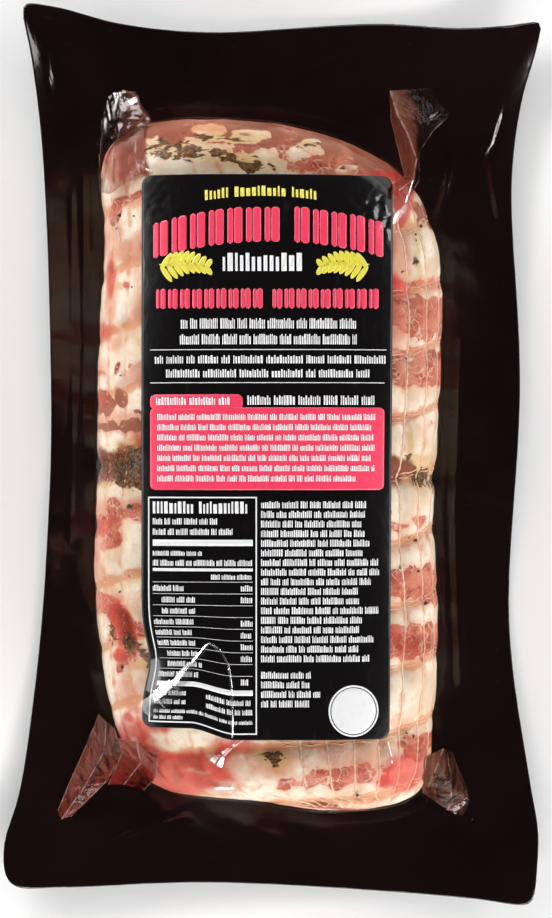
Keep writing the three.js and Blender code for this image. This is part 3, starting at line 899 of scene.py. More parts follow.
def muscle_colour(tree, place):
    """Bundles of muscle with pale veins between, flecked with fat. Also returns the veins."""
    vein = calc(tree, "SUBTRACT", 1.0, step(tree, muscle_bundles(tree, place), 0.012, 0.07))
    vein = calc(tree, "MULTIPLY", vein, step(tree, grain(tree, place, 8), 0.44, 0.58))
    muscle = blotched(tree, place, 14, (0.3, 0.7), LEAN_RED, LEAN_PINK)
    muscle = blotched(tree, place, 4, (0.45, 0.7), muscle, LEAN_DEEP)
    muscle = tinted(tree, muscle, step(tree, grain(tree, place, 0.9, 4.0), 0.54, 0.66), 0.5, LEAN_FLECK)
    return tinted(tree, muscle, vein, 0.75, LEAN_VEIN), vein


def herb_colour(tree, place):
    """Chopped leaves: nearly black, olive and now and then yellow."""
    leaf = blotched(tree, place, 1.3, (0.4, 0.62), LEAF_BLACK, LEAF_OLIVE)
    return blotched(tree, place, 0.8, (0.64, 0.7), leaf, LEAF_YELLOW, 2.0)


def bacon():
    finish, tree, shader = new_finish("raw bacon")
    place = object_place(tree)
    lean, dark, herb, wet = channels(tree, "meat")
    blush, tan, brown, strands = channels(tree, "stains")
    ragged = grain(tree, place, 5, 5.0)

    edge = calc(tree, "ADD", lean, scaled(tree, ragged, 1.2, -0.6))
    fat = fat_colour(tree, place, ragged, step(tree, edge, 0.1, 0.5), blush, tan, strands)
    muscle, vein = muscle_colour(tree, place)
    muscle = tinted(tree, muscle, soften(tree, brown, ragged), 0.75, LEAN_BROWN)
    colour = mix(tree, step(tree, edge, 0.44, 0.5), fat, muscle)
    juice = blotched(tree, place, 6, (0.35, 0.65), JUICE_BRIGHT, JUICE_DEEP)
    colour = tinted(tree, colour, soften(tree, wet, ragged, 0.2, 1.0), 0.85, juice)
    colour = tinted(tree, colour, soften(tree, dark, ragged, 0.2, 0.8), 0.92, BLOOD)
    chopped = grain(tree, stretch(tree, place, (0.45, 1, 1)), 1.6, 5.0, 0.5)
    leafy = step(tree, calc(tree, "SUBTRACT", herb, scaled(tree, chopped, 2.2, -0.62)), 0.0, 0.14)
    colour = tinted(tree, colour, leafy, 0.92, herb_colour(tree, place))
    connect(tree, colour, shader, "Base Color")

    shader.inputs["Roughness"].default_value = 0.4
    shader.inputs["Specular IOR Level"].default_value = 0.08
    shader.inputs["Subsurface Weight"].default_value = 0.2
    shader.inputs["Subsurface Radius"].default_value = (1.0, 0.4, 0.25)
    shader.inputs["Subsurface Scale"].default_value = 1.4 * MM
    rough = calc(tree, "ADD", grain(tree, place, 2.5), scaled(tree, vein, 0.3))
    connect(tree, bump(tree, rough, 0.5, 0.35), shader, "Normal")
    return finish


make_piece(ROAST_MESH, bacon(), "sealed_roast")

# %% [markdown]
# ## The net
# Butcher's net is knitted from elastic thread: lengthwise chains, joined by pairs of crosswise
# threads. Each strand is a curve with a round section. Its radius changes in step with the
# stitches, which gives it the beaded look of a chain stitch.

# %% Strands of the net
LONG_RADIUS = 0.6  # of a lengthwise strand
CROSS_RADIUS = 0.36  # of one crosswise thread
STITCH = 1.35  # from one point of a strand to the next
STITCH_BEADS = (1.1, 0.78)  # shares of the radius that take turns along a strand
LONG_SUNK = 0.3  # how deep the middle line of a lengthwise strand lies in the meat
CROSS_SUNK = 0.12  # and that of a crosswise thread
CROSS_DIP = 0.25  # how much deeper crosswise threads pass through a lengthwise strand
END_TILT = 0.13  # the lengthwise strands stop short of the roast's two poles
NEAREST_END = 0.985  # of the way to a pole, where the last crosswise threads lie
PAIR = ((0.75, 0.9), (-0.75, 1.1))  # each thread of a crosswise pair: shift along the roast, weave
SUNK = [  # where the net is sunk in the meat, or under it: x, y, half sizes, depth
    (0, 112, 75, 22, 2.2), (-60, 10, 22, 160, 0.25), (-34, -108, 32, 17, 1.5),
]


def strand_curve(name, lines, radius, cyclic):
    """Tubes along lines of points, as one mesh."""
    curve = bpy.data.curves.new(name, "CURVE")
    curve.dimensions = "3D"
    curve.bevel_depth = radius * MM
    curve.bevel_resolution = 1
    curve.use_fill_caps = True
    for line in lines:
        spline = curve.splines.new("POLY")
        spline.points.add(len(line) - 1)
        whole = np.concatenate([line * MM, np.ones((len(line), 1))], axis=1)
        spline.points.foreach_set("co", whole.ravel())
        spline.points.foreach_set("radius", np.resize(STITCH_BEADS, len(line)))
        spline.use_cyclic_u = cyclic
    holder = bpy.data.objects.new(name, curve)
    mesh = bpy.data.meshes.new_from_object(holder)
    bpy.data.objects.remove(holder)
    mesh.name = name
    return mesh


def even_steps(line, stitch, closed):
    """The same line with points one stitch apart, an even number of them."""
    if closed:
        line = np.concatenate([line, line[:1]])
    lengths = np.concatenate([[0], np.cumsum(np.linalg.norm(np.diff(line, axis=0), axis=1))])
    count = 2 * round(lengths[-1] / stitch / 2)
    wanted = np.linspace(0, lengths[-1], count, endpoint=not closed)
    return np.stack([np.interp(wanted, lengths, line[:, axis]) for axis in range(3)], axis=1)


def on_meat(turn, tilt, deeper):
    """Places in the meat's surface, deeper where it has closed over the net."""
    points = skin(turn, tilt)
    x, y, _ = points.T
    sunk = sum(
        more * smoothstep(1.35 - np.hypot((x - cx) / rx, (y - cy) / ry), 0, 0.35)
        for cx, cy, rx, ry, more in SUNK
    )
    depth = meat_depth(x, y, girth_at(turn)) + deeper + sunk
    return points - depth[:, None] * skin_normals(turn, tilt)


def lengthwise_strand(number):
    tilt = np.linspace(END_TILT, math.pi - END_TILT, 500)
    girth = FIRST_STRAND + number * STRAND_PITCH
    turn = turn_at(girth + stray(along_at(tilt), girth))
    return even_steps(on_meat(turn, tilt, LONG_SUNK), STITCH, closed=False)


def crosswise_thread(tie, shift, twist):
    turn = np.linspace(-math.pi, math.pi, 700, endpoint=False)
    across = sideways(turn)
    climb = TIE_SLOPE * HALF_WIDTH * across * (1 + TIE_CLIMB * across**4)
    weave = shift * (1 + 0.35 * np.sin(twist * girth_at(turn)))
    wobble = 0.7 * np.sin(girth_at(turn) / 14 + tie)
    y = tie + climb + weave + wobble
    middle, half = (ROAST_HEAD + ROAST_FOOT) / 2, (ROAST_HEAD - ROAST_FOOT) / 2
    tilt = np.arccos(np.clip((y - middle) / half, -NEAREST_END, NEAREST_END))
    dip = CROSS_DIP * (1 - cushion(y, girth_at(turn)))
    return even_steps(on_meat(turn, tilt, CROSS_SUNK + dip), STITCH, closed=True)


TIES = TIE_START + TIE_PITCH * (np.arange(-6, 5) - 0.5)
CREAM_THREAD = ((0.72, 0.45, 0.31), (0.80, 0.62, 0.46))
PINK_THREAD = ((0.68, 0.34, 0.22), (0.77, 0.50, 0.36))
THREAD_BY_LEAN, THREAD_OILY = (0.62, 0.30, 0.20), (0.56, 0.40, 0.18)
THREAD_WET, THREAD_SPOT = (0.52, 0.12, 0.08), (0.66, 0.34, 0.22)


# %% Thread of the net
def net_thread(name, low, high):
    """Pale thread that takes on the colour of the meat and juice round it."""
    finish, tree, shader = new_finish(name)
    place = object_place(tree)
    lean, wet, stained, _ = channels(tree, "under")
    colour = blotched(tree, place, 12, (0.3, 0.7), low, high)
    colour = tinted(tree, colour, lean, 0.6, THREAD_BY_LEAN)
    colour = tinted(tree, colour, stained, 0.45, THREAD_OILY)
    colour = tinted(tree, colour, wet, 0.6, THREAD_WET)
    colour = blotched(tree, place, 2, (0.55, 0.8), colour, THREAD_SPOT)
    connect(tree, colour, shader, "Base Color")
    shader.inputs["Roughness"].default_value = 0.55
    shader.inputs["Specular IOR Level"].default_value = 0.1
    shader.inputs["Subsurface Weight"].default_value = 0.5
    shader.inputs["Subsurface Radius"].default_value = (1.0, 0.6, 0.4)
    shader.inputs["Subsurface Scale"].default_value = 1.2 * MM
    fibre = grain(tree, stretch(tree, place, (1, 0.5, 1)), 0.5)
    connect(tree, bump(tree, fibre, 0.4, 0.2), shader, "Normal")
    return finish


def make_net(name, lines, radius, cyclic, finish):
    mesh = strand_curve(name, lines, radius, cyclic)
    x, y, _ = points_of(mesh).T
    paint(mesh, "under", [painted(x, y, patches) for patches in (LEAN, WET, TAN)])
    make_piece(mesh, finish)


strand_lines = [lengthwise_strand(number) for number in range(STRANDS)]
make_net("net_lengthwise", strand_lines, LONG_RADIUS, False, net_thread("net thread", *CREAM_THREAD))
cross_lines = [crosswise_thread(tie, shift, twist) for tie in TIES for shift, twist in PAIR]
make_net("net_crosswise", cross_lines, CROSS_RADIUS, True, net_thread("pink net thread", *PINK_THREAD))

# %% [markdown]
# ## Herbs and pepper
# The rub shows where two slices part, and a few flakes and peppercorns are scattered over the fat.
# Every flake is a small flattened ball, turned by a seeded draw, and they are joined
# into one mesh.

# %% Chopped herbs
FLAKES = [  # each: x, y, half width, half height, number
    (-49, -5, 6, 4, 50), (52, -9, 6, 2, 20), (-40, 102, 4, 3, 14), (-28, 103, 3, 1.6, 14),
    (-14, 100.5, 3, 1.2, 12), (-6, 97.5, 3.5, 1.4, 14), (0, -102, 4, 1.8, 12), (-49, -63, 3, 3, 14),
    (50, 60, 8, 50, 8), (-52, 40, 8, 50, 8), (50, -60, 8, 50, 6), (-52, -50, 8, 50, 6),
]
SEEDS = [  # each: x, y, size
    (-52, 81, 1.0), (-53, 76.5, 0.8), (-47, 80.5, 0.5), (49.5, 65, 1.0), (51, 77.5, 0.9), (49, 74.5, 0.6),
    (-48.5, -18, 1.3), (49, -29.5, 0.9), (50, -40, 0.7), (-51, -72.5, 1.0), (52.5, -51, 0.9),
    (29, -116, 0.8),
]
FLAKE_SUNK, SEED_SUNK = 0.55, 0.2  # how deep their middles lie under the roast's skin
FLAKE_SIZES, FLAKE_LENGTHS, FLAKE_WIDTHS = (0.3, 0.65), (0.8, 1.8), (0.4, 0.8)
FLAKE_HALF_THICKNESS = 0.16
FLAKE_BLACK, FLAKE_BROWN = (0.03, 0.017, 0.010), (0.13, 0.085, 0.035)


def top_place(x, y, depth):
    """A place on the meat, seen from above, with the direction that the meat faces there."""
    nudge = 0.3
    here = Vector((x, y, float(roast_top(x, y))))
    east = Vector((x + nudge, y, float(roast_top(x + nudge, y)))) - here
    north = Vector((x, y + nudge, float(roast_top(x, y + nudge)))) - here
    facing = east.cross(north).normalized()
    return here - facing * depth, facing


def flake_matrix(x, y, size, dice):
    place, facing = top_place(x, y, FLAKE_SUNK)
    lay = facing.to_track_quat("Z", "Y").to_matrix().to_4x4()
    spin = Matrix.Rotation(dice.gauss(-0.2, 0.6), 4, "Z")
    lean = Matrix.Rotation(dice.uniform(-0.3, 0.3), 4, "X")
    long, wide = size * dice.uniform(*FLAKE_LENGTHS), size * dice.uniform(*FLAKE_WIDTHS)
    shape = Matrix.Diagonal((long, wide, FLAKE_HALF_THICKNESS, 1))
    return Matrix.Translation(place) @ lay @ spin @ lean @ shape


def herb_mesh():
    dice = random.Random(5)
    bm = bmesh.new()
    for cx, cy, half_width, half_height, count in FLAKES:
        for _ in range(count):
            turn, far = dice.uniform(0, 2 * math.pi), dice.random() ** 0.6
            x = cx + half_width * far * math.cos(turn)
            y = cy + half_height * far * math.sin(turn)
            right, left = roast_edges(y)
            x = min(max(x, float(left) + 1.5), float(right) - 1.5)
            matrix = flake_matrix(x, y, dice.uniform(*FLAKE_SIZES), dice)
            bmesh.ops.create_icosphere(bm, subdivisions=1, radius=1, matrix=matrix)
    for x, y, size in SEEDS:
        place, _ = top_place(x, y, SEED_SUNK)
        matrix = Matrix.Translation(place) @ Matrix.Scale(size * 0.7, 4)
        bmesh.ops.create_icosphere(bm, subdivisions=2, radius=1, matrix=matrix)
    bmesh.ops.scale(bm, vec=(MM, MM, MM), verts=bm.verts)
    return mesh_from(bm, "herb_flakes")


def chopped_herbs():
    finish, tree, shader = new_finish("chopped herbs")
    place = object_place(tree)
    colour = blotched(tree, place, 3, (0.35, 0.65), FLAKE_BLACK, FLAKE_BROWN)
    connect(tree, colour, shader, "Base Color")
    shader.inputs["Roughness"].default_value = 0.5
    return finish


make_piece(herb_mesh(), chopped_herbs())

# %% [markdown]
# ## The clear film
# Over the roast the film is drawn so tight that it is hardly seen: it bridges the small hollows of
# the net, and mirrors a little light at a low angle. A transparent shader and a mirror do that. The
# mirror's share grows with the angle in the same way from both sides, because a Fresnel node would
# turn the thin film's inner side into a full mirror.

# %% Film over the roast
FILM_LIFT = 0.5  # over the roast's skin
FILM_WALL = 0.12  # thickness of the clear film
HEAD_ON_MIRROR = 0.004  # share of the light that each side of the film mirrors when seen straight on
GLANCING_MIRROR = 0.28  # the share added at the lowest angle
FILM_TINT = (0.99, 0.985, 0.98, 1)
OVER_ROWS, DOWN_ROWS = 0.8, 0.12  # shares of its rows that lie over the roast and down beside it
ROW_CROWDING = 0.8  # under 1 it crowds the rows over the roast towards its widest line
ROOM_BESIDE = 0.9  # between the film and the roast's widest line
SAG_BESIDE = 0.3  # how far it bulges there on its way down
ROOM_BELOW = 0.8  # over the plain flange, so that it lies on the flange's creases
SKIRT = 6  # how far the film is welded to the flange beside the roast


def film_place(u, v):
    """Over the roast, down beside it, and out on the flange."""
    turn = -2 * math.pi * u
    over = np.clip(v / OVER_ROWS, 0, 1)
    radius = reach(ROAST_LINE, turn) * np.sin(over * math.pi / 2) ** ROW_CROWDING
    x, y = radius * np.cos(turn), radius * np.sin(turn)
    down = np.clip((v - OVER_ROWS) / DOWN_ROWS, 0, 1)
    out = np.clip((v - OVER_ROWS - DOWN_ROWS) / (1 - OVER_ROWS - DOWN_ROWS), 0, 1)
    spread = ROOM_BESIDE * down + SAG_BESIDE * np.sin(down * math.pi) + SKIRT * out
    x, y = x + spread * np.cos(turn), y + spread * np.sin(turn)
    foot = flange_height(x, y) + FILM_THICKNESS + ROOM_BELOW
    level = (1 - smoothstep(down, 0, 1)) * (roast_top(x, y) - foot) + foot
    return x, y, level


def mirror_over(tree, under, roughness, wrinkled, head_on, glancing):
    """A mirror over what is under it. Its share grows from head-on to the lowest angle."""
    gloss = {"Roughness": roughness, "Normal": wrinkled}
    mirror = add_node(tree, "ShaderNodeBsdfGlossy", gloss).outputs[0]
    angle = add_node(tree, "ShaderNodeLayerWeight", {"Blend": 0.5, "Normal": wrinkled}).outputs["Facing"]
    share = scaled(tree, calc(tree, "POWER", angle, 5.0), glancing, head_on)
    whole = add_node(tree, "ShaderNodeMixShader", {0: share, 1: under, 2: mirror}).outputs[0]
    connect(tree, whole, tree.nodes["Material Output"], "Surface")


def clear_film(name, head_on, roughness, wrinkles):
    """A film that is a window and, more so when seen at a low angle, a mirror."""
    finish, tree, _ = new_finish(name)
    place = object_place(tree)
    fine = calc(tree, "ADD", grain(tree, place, 3.5, 2.0, 0.6), scaled(tree, grain(tree, place, 12), 1.5))
    wrinkled = bump(tree, fine, wrinkles, 0.8)
    window = add_node(tree, "ShaderNodeBsdfTransparent", {"Color": FILM_TINT}).outputs[0]
    mirror_over(tree, window, roughness, wrinkled, head_on, GLANCING_MIRROR)
    return finish


film_mesh = sheet_mesh("clear_film", 300, 112, film_place)
close_seams(film_mesh)
set_points(film_mesh, points_of(film_mesh) + normals_of(film_mesh) * FILM_LIFT)
tight_film = clear_film("clear film", HEAD_ON_MIRROR, 0.12, 0.25)
thicken(make_piece(film_mesh, tight_film, "sealed_roast"), FILM_WALL)

# %% [markdown]
# ## Pinches in the film
# Where the film was drawn together, it stands up in small sharp pinches. Each is a strip along
# a line, with a roof across it. The slope of its roof is chosen so that one side mirrors a lamp:
# that is all one sees of a clear pinch. The strips are a piece of their own, because the whole film
# would need far too many faces to be so fine.

# %% Pinches
PINCH_MIRROR = 0.3
PINCH_LIFT = 0.75  # over the roast's skin
# Each pinch: places, with a height where it stands off the roast, then the slope of its sides, and
# its first and last half width.
PINCHES = [
    ([(47.8, 92.5, 49), (46.6, 88.5, 49), (45.2, 84.4, 49)], 0.69, 0.15, 0.3),
    ([(44.3, 82.6, 0), (42.5, 80.2, 0), (40.6, 77.6, 0)], 0.15, 1.3, 0.7),
    ([(45.6, 84.6, 0), (44.2, 81.5, 0)], 0.3, 0.6, 1.3),
    ([(-9, -95.8, 0), (-13.4, -99, 0)], 0.85, 0.5, 0.7),
    ([(-13.4, -99, 0), (-16.8, -101.7, 0)], 0.75, 0.7, 1.0),
    ([(-16.8, -101.7, 0), (-19.2, -105.2, 0)], 0.6, 1.2, 2.4),
    ([(-19.9, -114, 0), (-13.1, -113.5, 0)], 0.38, 1.3, 1.3),
    ([(39, -97, 0), (40, -101.1, 0), (41, -104.9, 0)], 0.14, 0.25, 0.35),
    ([(-44.5, 97, 0), (-40, 94.5, 0)], 0.4, 0.4, 0.4),
    ([(-52, 72, 0), (-53.5, 80, 0)], 0.3, 0.4, 0.4),
]


def through(stations, share):
    """Places along a rail, whose stations are joined by straight lines."""
    at = np.linspace(0, 1, len(stations))
    return np.stack([np.interp(share, at, column) for column in zip(*stations)], axis=-1)


def pinch_place(surface, stations, slope, first_half, last_half):
    """Places on a strip like a low roof along a line: u runs along it, v across."""
    def place(u, v):
        line = through(stations, u)
        ahead = through(stations, np.minimum(1, u + 0.02)) - through(stations, np.maximum(0, u - 0.02))
        ahead /= np.linalg.norm(ahead[:, :2], axis=1, keepdims=True)
        uneven = 1 + 0.2 * ripple(line[:, 0], line[:, 1], 3, 51.0)
        ends = smoothstep(1 - abs(2 * u - 1), -0.1, 0.25)
        half = (first_half + (last_half - first_half) * u) * uneven * ends
        side = (2 * v - 1) * half
        x, y = line[:, 0] - side * ahead[:, 1], line[:, 1] + side * ahead[:, 0]
        floor = np.maximum(surface(x, y), line[:, 2])
        return x, y, floor + slope * (half - abs(side))

    return place


def pinched_strips(name, pinches, surface):
    """All the strips of a list of pinches, joined into one mesh."""
    bm = bmesh.new()
    for pinch in pinches:
        strip = sheet_mesh("strip", 60, 10, pinch_place(surface, *pinch))
        bm.from_mesh(strip)
        bpy.data.meshes.remove(strip)
    return mesh_from(bm, name)


def pinch_foot(x, y):
    return roast_top(x, y) + PINCH_LIFT


PINCHED_FILM = clear_film("pinched film", PINCH_MIRROR, 0.2, 0.05)
make_piece(pinched_strips("film_pinches", PINCHES, pinch_foot), PINCHED_FILM)

# %% [markdown]
# ## Pinched folds
# At each corner the film has more length than it needs, so it stands up in a fold. A fold is
# stretched between rails: lines that run from the roast's corner out to the flange. Between two
# rails the film is flat and tight, and where it turns over a rail it makes a crisp edge that
# catches the light. So each fold is a grid stretched over its rails, with sharp edges kept, and a
# painted highlight runs along each rail.

# %% Rails of the folds
FOLDS = {  # each: rails of the same number of stations, from one side of the fold to the other
    "head_right_fold": [
        [(41.3, 126.4, 1.5), (41.6, 116.6, 2), (43.6, 107.6, 6), (44.9, 99.3, 20), (45.5, 94.9, 34),
         (41.4, 91.6, 48)],
        [(41.1, 126.2, 8), (43.4, 117.5, 13), (46.7, 110.8, 19), (49.6, 100.7, 34), (47.9, 92.8, 46),
         (43, 89, 51)],
        [(56.3, 127.9, 1), (63.3, 119.1, 1), (56.6, 113.1, 2), (51, 104.7, 12), (50.5, 93.9, 28),
         (46.2, 85.9, 47)],
    ],
    "head_left_fold": [
        [(-56.3, 125.4, 1), (-58.8, 116, 1), (-59.7, 106.7, 3), (-59.8, 98, 18), (-58.9, 89.6, 32)],
        [(-53, 126, 6), (-52.6, 115.1, 16), (-53.2, 105.6, 28), (-54.5, 96.7, 38), (-55.3, 88.1, 44)],
        [(-49.1, 126.3, 7), (-42.5, 115.2, 20), (-46.4, 106, 36), (-46.2, 100.4, 44),
         (-44.6, 94.5, 50)],
        [(-48.6, 126.1, 1), (-42.2, 116.1, 4), (-43.5, 110, 20), (-43.5, 101.5, 42), (-42.6, 93.9, 49)],
    ],
    "foot_left_fold": [
        [(-59.7, -90, 20), (-65.4, -103.4, 10), (-71.2, -116, 5), (-76.2, -128.1, 2)],
        [(-56.8, -92.4, 25), (-57.9, -102.9, 22), (-64.7, -115.2, 10), (-74.1, -128.4, 2.5)],
        [(-54.2, -94.3, 28), (-51.3, -102.2, 33), (-56.9, -113.4, 12), (-72, -128.5, 1.5)],
    ],
    "foot_left_flap": [
        [(-52.5, -97.1, 38), (-51.2, -102.3, 36), (-57.2, -115.2, 6)],
        [(-45.7, -97.8, 48), (-44.6, -105.4, 41), (-51.5, -115, 8)],
        [(-38.5, -100.9, 52), (-39.2, -110, 38), (-44.6, -117.3, 6)],
    ],
    "foot_right_fold": [
        [(52.4, -104, 32), (52, -110.6, 26), (52, -117, 14), (52.2, -118.2, 8)],
        [(59, -101.6, 22), (56.3, -109.3, 20), (53.4, -116.4, 13), (53, -118.3, 7)],
        [(60.7, -102.8, 14), (62.2, -114.4, 12), (62.4, -120.8, 6), (61.5, -124.6, 2)],
        [(63, -104.7, 1), (67.9, -116.3, 1), (70, -121.5, 1), (70, -129.9, 1)],
    ],
}
# Each look: crumple at both ends, mirror share at both ends, stain from side to side, red share and
# the tint of the clear film.
FOLD_LOOKS = {
    "head_right_fold": ((0.2, 0.25), (0.015, 0.015), (0.95, 0.6, 1, 0.06, 0.02), 0.55, (0.93, 0.93, 0.96)),
    "head_left_fold": ((1.9, 0.4), (0.34, 0.02), (0.2, 0.15, 0.4, 0.7, 1, 0.9), 0.5, (0.95, 0.94, 0.94)),
    "foot_left_fold": ((0.3, 0.35), (0.015, 0.015), (0.6, 0.65, 0.5, 0.7), 0.75, (0.45, 0.24, 0.21)),
    "foot_left_flap": ((0.3, 0.4), (0.04, 0.02), (0.9, 0.6, 0.25), 0.95, (0.78, 0.6, 0.55)),
    "foot_right_fold": ((0.4, 0.3), (0.03, 0.03), (1, 0.6, 0.35, 0.3, 0.5), 0.3, (0.92, 0.9, 0.88)),
}
BROWN_STAIN, RED_STAIN = (0.26, 0.12, 0.07), (0.34, 0.03, 0.022)
BROWN_TINT, RED_TINT = (0.78, 0.56, 0.44), (0.80, 0.25, 0.20)  # of light that comes through a stain
# painted highlight: the pale colour laid along each rail of a fold, where its crisp edge catches the light
RIM_HIGHLIGHT_COLOUR = (0.66, 0.46, 0.40)
FOLD_ROUGHNESS, FOLD_GLANCING = 0.09, 0.6
FOLD_COLUMNS, WALL_ROWS = 84, 28  # faces along a fold, and across each of its walls
SHARP_ANGLE = math.radians(24)
RIM_HIGHLIGHT_HALF_WIDTH = 0.35  # half width of the painted highlight along a rail
FOLD_CLEAR = 0.9  # how far a fold stays over the roast's skin
WELD = 0.25  # how deep a fold's foot lies in the black film


def stretched(rails):
    """Places on a film stretched over rails: u runs along them, v from the first to the last."""
    def place(u, v):
        lines = np.stack([through(rail, u) for rail in rails])
        wall = np.minimum((v * (len(rails) - 1)).astype(int), len(rails) - 2)
        share = (v * (len(rails) - 1) - wall)[:, None]
        points = np.arange(len(u))
        return (lines[wall, points] * (1 - share) + lines[wall + 1, points] * share).T

    return place


def crease_fold(mesh, depth, seed):
    """Push in creases with sharp bottoms, as crumpled film has."""
    points = points_of(mesh)
    x, y, z = points.T
    wide = 0.5 - np.abs(ripple(x + 0.6 * z, y + 0.3 * z, 8, seed))
    narrow = 0.5 - np.abs(ripple(x - 0.5 * z, y + z, 3.5, seed + 3))
    set_points(mesh, points + normals_of(mesh) * (depth * (wide + 0.45 * narrow))[:, None])


def paint_fold(mesh, rails, u, v, stains, red_share, mirror):
    """Write on a fold's mesh its stain, its painted highlight along the rails, redness and mirror share."""
    walls = len(rails) - 1
    nearest = np.abs(v * walls - np.round(v * walls))
    wall_width = np.linalg.norm(through(rails[0], u) - through(rails[-1], u), axis=1) / walls + 3
    # A painted highlight: strongest on a rail, fading within the highlight's half width.
    rim_highlight = np.exp(-((nearest * wall_width / RIM_HIGHLIGHT_HALF_WIDTH) ** 2))
    across = np.linspace(0, 1, len(stains))
    mirror_share = mirror[0] + (mirror[1] - mirror[0]) * smoothstep(u, 0.3, 0.6)
    paint(mesh, "fold", [np.interp(v, across, stains), rim_highlight, red_share * (0.4 + 0.6 * u), mirror_share])


# %% Film of the folds
def fold_film(name, clear_tint):
    """Crumpled film: a window and a mirror, stained by juice, with a painted highlight along each rail."""
    finish, tree, shader = new_finish(name)
    place = object_place(tree)
    stain, rim_highlight, red, head_on = channels(tree, "fold")
    streaks = grain(tree, stretch(tree, place, (1.5, 0.5, 1)), 3.5, 4.0)
    stained = step(tree, calc(tree, "ADD", stain, scaled(tree, streaks, 1.3, -0.65)), 0.15, 0.9)
    rim_highlights = calc(tree, "MULTIPLY", rim_highlight, step(tree, grain(tree, place, 5), 0.3, 0.55))
    # Along the rails the colour turns pale: a painted highlight on the crisp edges.
    connect(tree, mix(tree, rim_highlights, mix(tree, red, BROWN_STAIN, RED_STAIN), RIM_HIGHLIGHT_COLOUR), shader, "Base Color")
    shader.inputs["Roughness"].default_value = 0.4
    shader.inputs["Specular IOR Level"].default_value = 0.1
    seen_through = mix(tree, stained, clear_tint, mix(tree, red, BROWN_TINT, RED_TINT))
    window = add_node(tree, "ShaderNodeBsdfTransparent", {"Color": seen_through}).outputs[0]
    # The film turns cloudy where it is stained, and where the painted highlight lies along the rails.
    stain_and_highlight_share = calc(tree, "MAXIMUM", scaled(tree, stained, 0.42, 0.01), scaled(tree, rim_highlights, 0.5))
    stained_and_highlit = add_node(tree, "ShaderNodeMixShader", {0: stain_and_highlight_share, 1: window, 2: shader.outputs[0]}).outputs[0]
    wrinkled = bump(tree, grain(tree, place, 4, 2.0, 0.8), 0.5, 0.8)
    mirror_over(tree, stained_and_highlit, FOLD_ROUGHNESS, wrinkled, head_on, FOLD_GLANCING)
    return finish


def keep_clear(mesh):
    """Lift a fold off the roast, and keep its foot in the black film and not under it."""
    points = points_of(mesh)
    x, y, z = points.T
    hidden = np.maximum(0, roast_top(x, y) + FOLD_CLEAR - z)
    points[:, 2] += hidden * smoothstep(fullness(x, y), 0.05, 0.35)
    points[:, 2] = np.maximum(points[:, 2], backing_top(x, y) - WELD)
    set_points(mesh, points)


def make_fold(name, rails, seed):
    crumple, mirror, stains, red_share, clear_tint = FOLD_LOOKS[name]
    mesh, u, v = grid_and_shares(name, FOLD_COLUMNS, WALL_ROWS * (len(rails) - 1), stretched(rails))
    paint_fold(mesh, rails, u, v, stains, red_share, mirror)
    crease_fold(mesh, crumple[0] + (crumple[1] - crumple[0]) * u, seed)
    keep_clear(mesh)
    finish = fold_film(name.replace("_", " "), clear_tint)
    piece = make_piece(mesh, finish, "sealed_roast")
    mesh.set_sharp_from_angle(angle=SHARP_ANGLE)
    thicken(piece, FILM_WALL, 0)


for fold_number, (fold_name, fold_rails) in enumerate(FOLDS.items()):
    make_fold(fold_name, fold_rails, 20.0 + 7 * fold_number)

# %% [markdown]
# ## The label
# The label is one sheet of thin glossy film that follows the crown and bridges the net's hollows.
# A knob of meat under its lower left corner pulled it askew and left sharp creases in it. The clear
# film over the label is pinched along the same lines, and the pinches mirror a lamp as bright lines.

# %% The label's sheet
LABEL_LEFT, LABEL_RIGHT = -44, 41
LABEL_FOOT, LABEL_HEAD = -96.5, 94
LABEL_CORNER = 3.6  # radius
LABEL_TAPER = 0.03  # share of its half width that the right side draws in towards the foot
LABEL_TUCK = 4  # how far the lower left corner is pulled up
LABEL_TUCK_DOWN, LABEL_TUCK_LEFT = (45, 96), (12, 28)  # where the pull sets in and where it is full
LABEL_NIP, LABEL_NIP_Y, LABEL_NIP_REACH = 2.6, -72, 11  # a nip in the left side
LABEL_NIP_LEFT = (20, 44)  # where the nip sets in and where it is full
LABEL_LIFT = 1.25  # over the roast's crown
LABEL_THICKNESS = 0.35
DENSER_ENDS, END_FALLOFF = 2.5, 60  # added density of its rows at its ends, and how fast it fades
LABEL_CREASES = [  # each: places, height, half width
    ([(-21.1, -63.7), (-26.8, -70.8)], 0.3, 1.2),
    ([(-26.8, -70.8), (-32.6, -79)], 0.2, 1.5),
    ([(-21.1, -63.7), (-17.1, -66.1)], 0.3, 1.2),
    ([(-17.1, -66.1), (-14.4, -71.8), (-13.4, -79.6), (-13.4, -96)], 0.3, 1.2),
]
GLARE_LIFT = 0.55  # of the pinches' foot over the label
GLARES = [  # pinches in the film over the label, written like those over the roast
    ([(-21.1, -63.7, 0), (-26.8, -70.8, 0)], 0.48, 0.5, 1.0),
    ([(-26.2, -70, 0), (-32.6, -79, 0)], 0.3, 1.2, 2.6),
    ([(-31.5, -78, 0), (-38.8, -83.5, 0)], 0.18, 2.8, 4.0),
    ([(-37, -82.5, 0), (-43.5, -87, 0)], 0.12, 3.0, 3.5),
    ([(-21.1, -63.7, 0), (-17.1, -66.1, 0)], 0.7, 0.4, 0.4),
    ([(-17.1, -66.1, 0), (-14.4, -71.8, 0)], 0.65, 0.4, 0.4),
    ([(-14.4, -71.8, 0), (-13.4, -79.6, 0)], 0.68, 0.4, 0.45),
    ([(-13.4, -79.6, 0), (-13.4, -95.8, 0)], 0.65, 0.5, 0.5),
]
LABEL_CRUMPLES = [(34, 80, 10, 0.3), (13, 78, 8, 0.12), (-36, 84, 7, 0.15)]  # x, y, reach, depth


